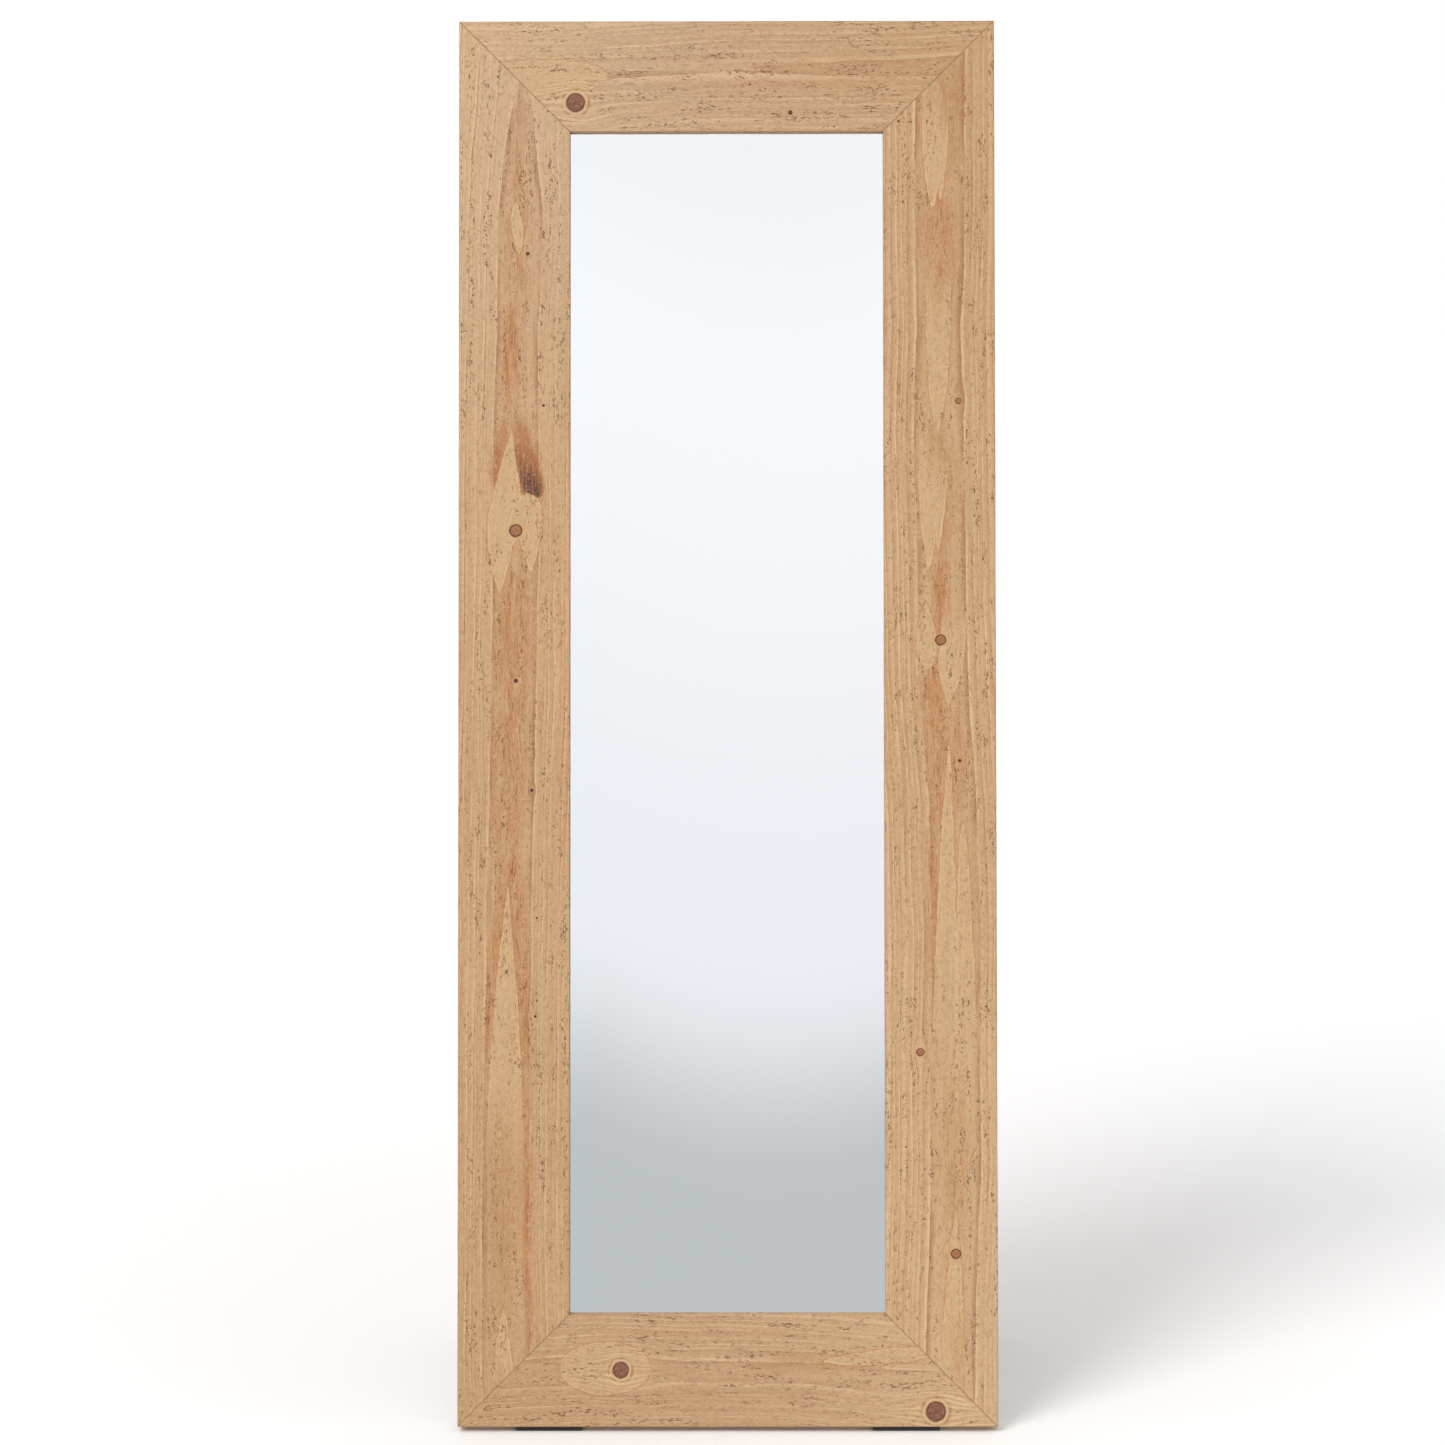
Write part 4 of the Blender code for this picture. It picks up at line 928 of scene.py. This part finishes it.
def frame_wood(name, fleck, stretch, greyer):
    """Brushed knotty spruce. Its attributes come from grain(), so colour and relief agree.

    fleck is the strength of the flecks, stretch how close they are along and across the grain, and
    greyer the share of a greyer tan that is a painted sheen; it also weakens the ring lines' painted
    highlight and shade.
    """
    tree = Tree(name)
    place = tree.attribute("grain", "Vector")
    warm, diagonal_shading = tree.attribute("warm"), tree.attribute("diagonal_shading")
    fibres = place.noise((14.0, 900.0, 0.0), 3.0, 0.65)
    strands = place.noise((22.0, 420.0, 0.0), 3.0, 0.6, 0.5)
    coarse = place.noise((3.0, 130.0, 0.0))
    inside, light, dark, late, rim, shadow = ring_lines(tree, place, coarse)
    outside = 1.0 - inside

    cloud = place.noise((6.0, 22.0, 0.0), 3.0, 0.6)
    tree.colour = tree.mix(cloud.ramp(0.32, 0.68), TAN_DEEP, TAN)
    tree.paint(late * 0.40, LATE)
    tree.paint(coarse.ramp(0.40, 0.62, 0.0, 0.35), TAN_LIGHT)
    tree.paint(fibres.ramp(0.42, 0.70, 0.0, 0.55), TAN_LIGHT)
    tree.paint(strands.ramp(0.56, 0.74, 0.0, 0.50), STRAND)
    # painted sheen: a greyer tan at the frame's upper left corner
    tree.paint(tree.attribute("corner_sheen") * 0.75, SHEEN_GREY_TAN)
    # painted sheen: a greyer tan over the rails
    tree.paint(greyer, RAIL_SHEEN_TAN)
    # painted light and shade: lighter towards the upper left and lower right corners, darker towards the
    # other two
    tree.paint(diagonal_shading.ramp(0.0, 1.0, 0.0, 0.62), TAN_LIGHT)
    tree.paint(diagonal_shading.ramp(0.0, -1.0, 0.0, 0.55), TAN_DEEP)
    # painted shade and painted highlight on the two sides of the raised ring lines, partly the wood's own
    # late and early wood
    tree.paint(dark * outside * (0.56 - greyer), RED_DEEP)
    tree.paint(light * outside * (0.66 - 0.3 * greyer), CREAM)

    streaks = place.noise((34.0, 560.0, 0.0), 3.0, 0.6, 1.2).ramp(0.53, 0.66)
    uneven = place.noise((20.0, 110.0, 0.0), 3.0, 0.6).ramp(0.34, 0.60, 0.30, 1.0)
    red = warm * outside
    tree.paint(red * uneven * 0.76, RED)
    tree.paint(red * streaks * 0.70, RED_DEEP)
    # painted shade outside each tongue's edge, partly reddish wood
    tree.paint(shadow * fibres.ramp(0.3, 0.7, 0.30, 0.75), RED)
    tree.paint(inside * strands.ramp(0.35, 0.65, 0.90, 0.45), PALE)
    # painted highlight on each tongue's rim, partly pale wood
    tree.paint(rim * 0.50, CREAM)
    smoke = tree.attribute("smudge") * strands.ramp(0.30, 0.64, 1.0, 0.60) * outside
    tree.paint(smoke.ramp(0.0, 0.42, 0.0, 0.92), SMOKE_RED)
    tree.paint(smoke.ramp(0.36, 0.74, 0.0, 0.94), SMOKE)

    knot, far, look = knots_of(tree)
    fine = place * stretch
    marks = flecks(tree, place, fine, fleck, far)
    wisps = (fine * (0.80, 0.70, 0.0) + (31.7, 12.9, 0.0)).noise(1.0, 2.0, 0.6, 1.4)
    tree.paint(wisps.ramp(0.53, 0.68, 0.0, 0.42), WISP)
    tree.paint(wisps.ramp(0.47, 0.34, 0.0, 0.38), TAN_LIGHT)
    tree.paint(marks, tree.mix(warm, FLECK, RED_DEEP))
    knot_colours(tree, place, knot, far, look)
    tree.paint(tree.attribute("edge").ramp(0.0002, 0.0014, 0.45, 0.0), EDGE_TONE)
    tree.paint(tree.attribute("joint").ramp(0.0001, 0.0007, 0.50, 0.0), JOINT)

    height = fibres * 0.45 + strands * -0.3 + light * 0.5 + marks * -1.6
    height = height + wisps * -0.8 + streaks * red * -0.6 + rim * 0.6
    rough = fibres.ramp(0.3, 0.7, 0.50, 0.62) + marks * 0.15 + light * -0.05
    return tree.finish(rough, height, 0.00030, 0.9, Specular_IOR_Level=0.3)


def knots_of(tree):
    """The knot coordinates: their vector, the distance from the nearest knot in radii, and its look."""
    knot = tree.attribute("knot", "Vector")
    flat = knot * (1.0, 1.0, 0.0)
    return flat, flat.length() + (flat.noise(1.2) - 0.5) * 0.42, knot.parts()[2]


def knot_colours(tree, place, knot, far, look):
    """Knots: a mottled disc with rings, cracks and pith in a dark rim, and what is round it."""
    big, large = look.ramp(0.4, 1.0), look.ramp(1.4, 2.0)
    uneven = knot.noise(1.1).ramp(0.36, 0.62, 0.15, 1.0)
    tree.paint(far.fall(1.0, 1.9) * knot.noise(0.8).ramp(0.3, 0.7, 0.3, 1.0) * 0.60, KNOT_HALO)
    knot_curls(tree, place, far, big, large, uneven)

    mottle = knot.noise(2.0, 4.0, 0.65, 1.0)
    face = tree.mix(big, KNOT_DARK, tree.mix(large, KNOT, KNOT_RED))
    face = tree.mix(mottle.ramp(0.50, 0.66, 0.0, 0.50), face, KNOT_RING)
    face = tree.mix(mottle.ramp(0.48, 0.34, 0.0, 0.36), face, KNOT_DARK)
    rings = ((far + mottle * 0.30) * 19.0).maths("SINE")
    face = tree.mix(rings.ramp(0.0, 1.0) * big * 0.24, face, KNOT_DARK)
    crack = abs(knot.noise(0.9, 2.0, 0.5, 0.8) - 0.5).fall(0.004, 0.022) * far.fall(0.55, 0.95) * big
    face = tree.mix(crack.maths("MAXIMUM", far.fall(0.05, 0.17)) * 0.62, face, KNOT_CRACK)
    tree.paint(far.fall(0.93, 1.04), face)

    rim = far.ramp(0.74, 0.92) * far.fall(1.00, 1.16)
    weaker = large * (uneven * 0.6 - 0.8) + 1.0
    tree.paint(rim * weaker * 0.95, KNOT_DARK)


def knot_curls(tree, place, far, big, large, uneven):
    """Grain round a knot: a pale ring, broken brown bark rings, and level lines that pass round the knot."""
    tree.paint(far.ramp(1.04, 1.14) * far.fall(1.22, 1.40) * large * 0.42, CREAM)
    tree.paint(far.ramp(1.30, 1.42) * far.fall(1.50, 1.72) * uneven * large * 0.50, KNOT_BARK)
    _, bent, lift = place.parts()
    waver = place.noise((26.0, 90.0, 0.0), 1.0)
    wider = place.noise((9.0, 260.0, 0.0), 1.0)
    wave = (bent * 1500.0 + waver * 5.0 + wider * 9.0).maths("SINE")
    patchy = place.noise((30.0, 60.0, 0.0)).ramp(0.34, 0.60, 0.35, 1.0)
    amount = lift.ramp(0.03, 0.50) * far.ramp(1.15, 1.50) * patchy * (large * 0.65 + big * 0.35)
    tree.paint(wave.ramp(0.20, 0.95) * amount * 0.50, CREAM)
    tree.paint(wave.ramp(-0.40, -1.0) * amount * 0.38, STRAND)


def planed_wood():
    """Planed spruce whose rings are cut from its own log, so faces, edges and ends agree."""
    tree = Tree("strut_spruce")
    place = tree.attribute("grain", "Vector")
    fibres = place.noise((16.0, 900.0, 0.0), 3.0, 0.65)
    strands = place.noise((20.0, 380.0, 0.0), 3.0, 0.6, 0.4)
    waver = place.noise((9.0, 40.0, 0.0))
    rings = tree.attribute("log", "Vector").length() * (1.0 / STRUT_RINGS) + waver * 0.55
    rings = rings + (rings * 1.7).maths("SINE") * 0.25
    phase, own = rings.maths("FRACT"), rings.maths("FLOOR").random()
    dark = phase.ramp(0.45, 0.92) * phase.fall(0.95, 1.0) * own.ramp(0.0, 1.0, 0.45, 1.0)
    pores = place.noise((70.0, 1500.0, 0.0), 1.0).ramp(0.64, 0.72)

    cloud = place.noise((7.0, 30.0, 0.0))
    tree.colour = tree.mix(cloud.ramp(0.3, 0.7), STRUT_EARLY, STRUT_EARLY_DEEP)
    tree.paint(dark * 0.75, STRUT_LATE)
    tree.paint(strands.ramp(0.56, 0.74, 0.0, 0.35), STRAND)
    tree.paint(fibres.ramp(0.42, 0.72, 0.0, 0.35), CREAM)
    tree.paint(pores * 0.45, RED_DEEP)
    knot_colours(tree, place, *knots_of(tree))
    tree.paint(tree.attribute("edge").ramp(0.0005, 0.0030, 0.30, 0.0), EDGE_TONE)
    height = fibres * 0.5 + dark * 0.6 + pores * -0.8
    return tree.finish(fibres.ramp(0.3, 0.7, 0.55, 0.70), height, 0.00012, 0.8, Specular_IOR_Level=0.3)


# ---------------------------------------------------------------- other materials


def beech_material():
    """Pressed beech: short dark rays on a pinkish ground."""
    tree = Tree("beech")
    place = tree.place()
    ground = place.noise((40.0, 90.0, 90.0), 3.0)
    rays = place.noise((380.0, 1500.0, 1500.0), 1.0).ramp(0.60, 0.68)
    tree.colour = tree.mix(ground.ramp(0.3, 0.7), tone(196, 150, 112), tone(212, 170, 130))
    tree.paint(rays * 0.7, tone(148, 100, 70))
    return tree.finish(ground.ramp(0.3, 0.7, 0.55, 0.68), rays, 0.0001, 0.5)


def hardboard_material():
    """Dark brown pressed fibre: fine specks, longer pale and dark fibres, faint press marks."""
    tree = Tree("hardboard")
    place = tree.place()
    specks = place.noise(900.0, 3.0, 0.7)
    bent = place + (place.noise(60.0, output="Color") + (-0.5, -0.5, -0.5)) * (0.012, 0.012, 0.012)
    pale = bent.noise((900.0, 200.0, 220.0), 1.0).ramp(0.63, 0.70)
    dark = bent.noise((230.0, 200.0, 1000.0), 1.0).ramp(0.62, 0.70)
    cloud = place.noise(14.0, 5.0, 0.7)
    blotch = place.noise(95.0, 4.0, 0.7)
    tree.colour = tree.mix(cloud.ramp(0.36, 0.64), colour(88, 60, 42), colour(120, 86, 62))
    tree.paint(blotch.ramp(0.44, 0.66, 0.0, 0.35), colour(134, 100, 74))
    tree.paint(specks.ramp(0.35, 0.68, 0.0, 0.55), colour(134, 98, 70))
    tree.paint(pale * 0.50, colour(160, 122, 90))
    tree.paint(dark * 0.55, colour(62, 42, 30))
    height = specks + pale * 0.5 + dark * -0.4
    return tree.finish(cloud.ramp(0.3, 0.7, 0.50, 0.66), height, 0.00008, 0.7, Specular_IOR_Level=0.4)


def cork_material():
    """Pressed cork crumbs bound with rubber."""
    tree = Tree("cork")
    place = tree.place()
    crumbs = place.cells(700.0, "F1", "Color").parts()[0]
    joints = place.cells(700.0, "DISTANCE_TO_EDGE", "Distance").fall(0.02, 0.10)
    tree.colour = tree.mix(crumbs, colour(146, 104, 68), colour(188, 146, 104))
    tree.paint(joints * 0.8, colour(78, 54, 38))
    return tree.finish(crumbs.ramp(0.0, 1.0, 0.80, 0.95), joints, -0.0003, 0.6)


def zinc_material():
    """Bright zinc plate: brushed before plating, faintly yellow and blue, with small rubs and dust."""
    tree = Tree("zinc_steel")
    place = tree.place()
    cloud = place.noise(60.0, 3.0, 0.6)
    brushed = place.noise((260.0, 260.0, 3600.0), 2.0, 0.6)
    rubs = place.noise((1400.0, 1400.0, 130.0), 2.0, 0.5, 0.8).ramp(0.64, 0.70)
    tree.colour = tree.mix(place.noise(22.0).ramp(0.35, 0.65), (0.60, 0.62, 0.66), (0.68, 0.66, 0.60))
    tree.paint(cloud.ramp(0.40, 0.70, 0.0, 0.35), (0.42, 0.43, 0.45))
    tree.paint(rubs * 0.6, (0.82, 0.82, 0.83))
    rough = cloud.ramp(0.3, 0.7, 0.26, 0.42) + rubs * -0.08
    height = brushed * 0.6 + rubs * -0.6 + cloud * 0.3
    return tree.finish(rough, height, 0.00004, 0.7, Metallic=1.0)


def rubber_material():
    """Moulded black rubber: fine matt grain, paler where dust and rubbing have caught it."""
    tree = Tree("black_rubber")
    place = tree.place()
    grains = place.noise(2200.0, 2.0, 0.6)
    dust = place.noise(260.0, 5.0, 0.75).ramp(0.46, 0.72)
    tree.colour = tree.mix(dust * 0.45, (0.020, 0.020, 0.022), (0.070, 0.068, 0.065))
    rough = grains.ramp(0.3, 0.7, 0.50, 0.62) + dust * 0.18
    return tree.finish(rough, grains, 0.00006, 0.8)


def mirror_material():
    """Silvered glass: a clean, very slightly cool mirror."""
    tree = Tree("silvered_glass")
    wipe = tree.place().noise((3.0, 3.0, 1.2))
    tree.colour = tree.mix(wipe.ramp(0.2, 0.8), (0.955, 0.965, 0.97), (0.965, 0.97, 0.975))
    return tree.finish(wipe.ramp(0.3, 0.7, 0.004, 0.010), Metallic=1.0)


# ---------------------------------------------------------------- studio

CAMERA_PLACE = (0.0107, -4.0, 0.7370)      # in the frame's axes
CAMERA_TARGET = (-0.0056, 0.0, 0.8467)
CAMERA_UP = (0.00093, -0.02742, 0.99962)
CAMERA_LENS = 82.5

SUN_FROM = (-0.50, -0.55, 0.67)
SUN_STRENGTH = 1.6
SUN_SPREAD = math.radians(28)
ROOM_LIGHT = 0.80

# What reflections show: the sky by its height, and the floor by its distance.
HORIZON = ((0.0, (192, 196, 197)), (0.046, (193, 197, 198)), (0.118, (241, 241, 246)),
           (0.29, (252, 252, 255)), (0.36, (246, 246, 248)), (0.60, (222, 225, 229)))
FLOOR_NEAR = colour(182, 186, 188)
FLOOR_BANDS = ((0.2, 2.6, (220, 223, 225)), (2.0, 7.5, (244, 245, 248)), (12.0, 34.0, (192, 196, 197)))


def make_camera():
    data = bpy.data.cameras.new("camera")
    data.lens = CAMERA_LENS
    data.clip_end = 200.0
    camera = add_object("camera", data)
    place = FRAME_AXES.matrix @ Vector(CAMERA_PLACE)
    back = (place - FRAME_AXES.matrix @ Vector(CAMERA_TARGET)).normalized()
    right = (FRAME_AXES.matrix.to_3x3() @ Vector(CAMERA_UP)).cross(back).normalized()
    turn = Matrix((right, back.cross(right), back)).transposed()
    camera.matrix_world = Matrix.Translation(place) @ turn.to_4x4()
    bpy.context.scene.camera = camera


def make_world():
    """White for the camera, soft even light for the room, and a shaded horizon for the mirror.

    The horizon dips a little in the middle.
    """
    tree = Tree("studio", bpy.data.worlds)
    bpy.context.scene.world = tree.owner
    x, _, z = tree.add("TexCoord", {}, "Generated").parts()
    aside = x - 0.012
    sky = tree.add("ValToRGB", {0: (aside * aside * -5.0).maths("MAXIMUM", -0.014) + (z + 0.006)})
    bands = sky.socket.node.color_ramp
    bands.interpolation = "EASE"
    while len(bands.elements) < len(HORIZON):
        bands.elements.new(0.5)
    for band, (height, shade) in zip(bands.elements, HORIZON):
        band.position = height
        band.color = (*colour(*shade), 1.0)
    seen = tree.add("Background", {"Color": (1.0, 1.0, 1.0), "Strength": 1.0})
    room = tree.add("Background", {"Color": (1.0, 0.995, 0.99), "Strength": ROOM_LIGHT})
    reflected = tree.either("Is Glossy Ray", room, tree.add("Background", {"Color": sky, "Strength": 1.0}))
    tree.put(tree.nodes["World Output"].inputs["Surface"], tree.either("Is Camera Ray", reflected, seen))


def make_floor():
    """A plain pale floor, which reflections show as an even shade that changes with distance."""
    mesh = bpy.data.meshes.new("floor")
    bm = bmesh.new()
    bmesh.ops.create_grid(bm, x_segments=1, y_segments=1, size=80.0)
    bm.to_mesh(mesh)
    bm.free()
    floor = add_object("floor", mesh)
    tree = Tree("floor")
    tree.colour = tree.mix(tree.place().noise(0.8), (0.90, 0.90, 0.905), (0.915, 0.915, 0.92))
    mesh.materials.append(tree.finish(0.9, Specular_IOR_Level=0.0))
    away = tree.place().length()
    tree.colour = FLOOR_NEAR
    for start, end, shade in FLOOR_BANDS:
        tree.paint(away.ramp(start, end), colour(*shade))
    matt = Value(tree, tree.nodes["Principled BSDF"].outputs[0])
    shown = tree.either("Is Glossy Ray", matt, tree.add("Emission", {"Color": tree.colour}))
    tree.put(tree.nodes["Material Output"].inputs["Surface"], shown)


def make_light():
    data = bpy.data.lights.new("key", "SUN")
    data.energy = SUN_STRENGTH
    data.angle = SUN_SPREAD
    data.color = (1.0, 0.985, 0.965)
    key = add_object("key", data)
    key.rotation_mode = "QUATERNION"
    key.rotation_quaternion = Vector(SUN_FROM).to_track_quat("Z", "Y")


# ---------------------------------------------------------------- all of it

BEVELS = {                      # width of the rounded edges of the CAD nodes that stay
    "corner_plate": 0.00035, "stay_bracket": 0.00030, "stay_bar": 0.00035, "hinge_frame_leaf": 0.00022,
    "hinge_strut_leaf": 0.00022, "hinge_pin": 0.00025, "strut_boot": 0.0009, "frame_foot": 0.0010,
    "fold_bumper": 0.0006, "mirror_glass": 0.0005, "setting_block": 0.0004, "backing_board": 0.0004,
    "corner_biscuit": 0.0004, "strut_tenon": 0.0004,
}


def round_edges(node, width):
    """Rounds a CAD node's sharp edges with a modifier, so its mesh stays as it is."""
    bevel = node.modifiers.new("rounded_edges", "BEVEL")
    bevel.width = width
    bevel.segments = 3
    bevel.limit_method = "ANGLE"
    bevel.angle_limit = math.radians(40)
    bevel.use_clamp_overlap = True
    bevel.harden_normals = False


def dress_nodes(finishes):
    """Finishes and rounded edges for the CAD nodes."""
    for row in frame["record"]["subparts"]:
        node = frame["nodes"][row["node"]]
        node.data.materials.clear()
        node.data.materials.append(finishes[row["material_slot"]])
        width = next((width for start, width in BEVELS.items() if row["node"].startswith(start)), None)
        if width:
            round_edges(node, width)


def make_finishes():
    return {
        "silvered_glass": mirror_material(),
        "frame_spruce": frame_wood("stile_spruce", 1.0, (200.0, 350.0, 0.0), 0.0),
        "strut_spruce": planed_wood(),
        "beech": beech_material(),
        "hardboard": hardboard_material(),
        "cork": cork_material(),
        "zinc_steel": zinc_material(),
        "black_rubber": rubber_material(),
    }


def make_boards(stile_wood):
    # the rails get a 0.32 share of a painted sheen, a greyer tan
    rail_wood = frame_wood("rail_spruce", 1.15, (170.0, 450.0, 0.0), 0.32)
    stile_points, rail_points = (560, 112), (440, 140)      # along and across the front
    for name, board, side in (("left", STILE_LEFT, -1), ("right", STILE_RIGHT, 1)):
        piece = frame_board("frame_stile_" + name, board, True, side, *stile_points)
        piece.data.materials.append(stile_wood)
    for name, board, side in (("top", RAIL_TOP, 1), ("bottom", RAIL_BOTTOM, -1)):
        piece = frame_board("frame_rail_" + name, board, False, side, *rail_points)
        piece.data.materials.append(rail_wood)


def main():
    finishes = make_finishes()
    dress_nodes(finishes)
    make_boards(finishes["frame_spruce"])
    for piece in make_planed_pieces():
        piece.data.materials.append(finishes["strut_spruce"])
    for piece in make_screws() + make_brads() + make_studs():
        piece.data.materials.append(finishes["zinc_steel"])
    make_camera()
    make_world()
    make_floor()
    make_light()
    bpy.context.scene.view_settings.view_transform = "Standard"


main()
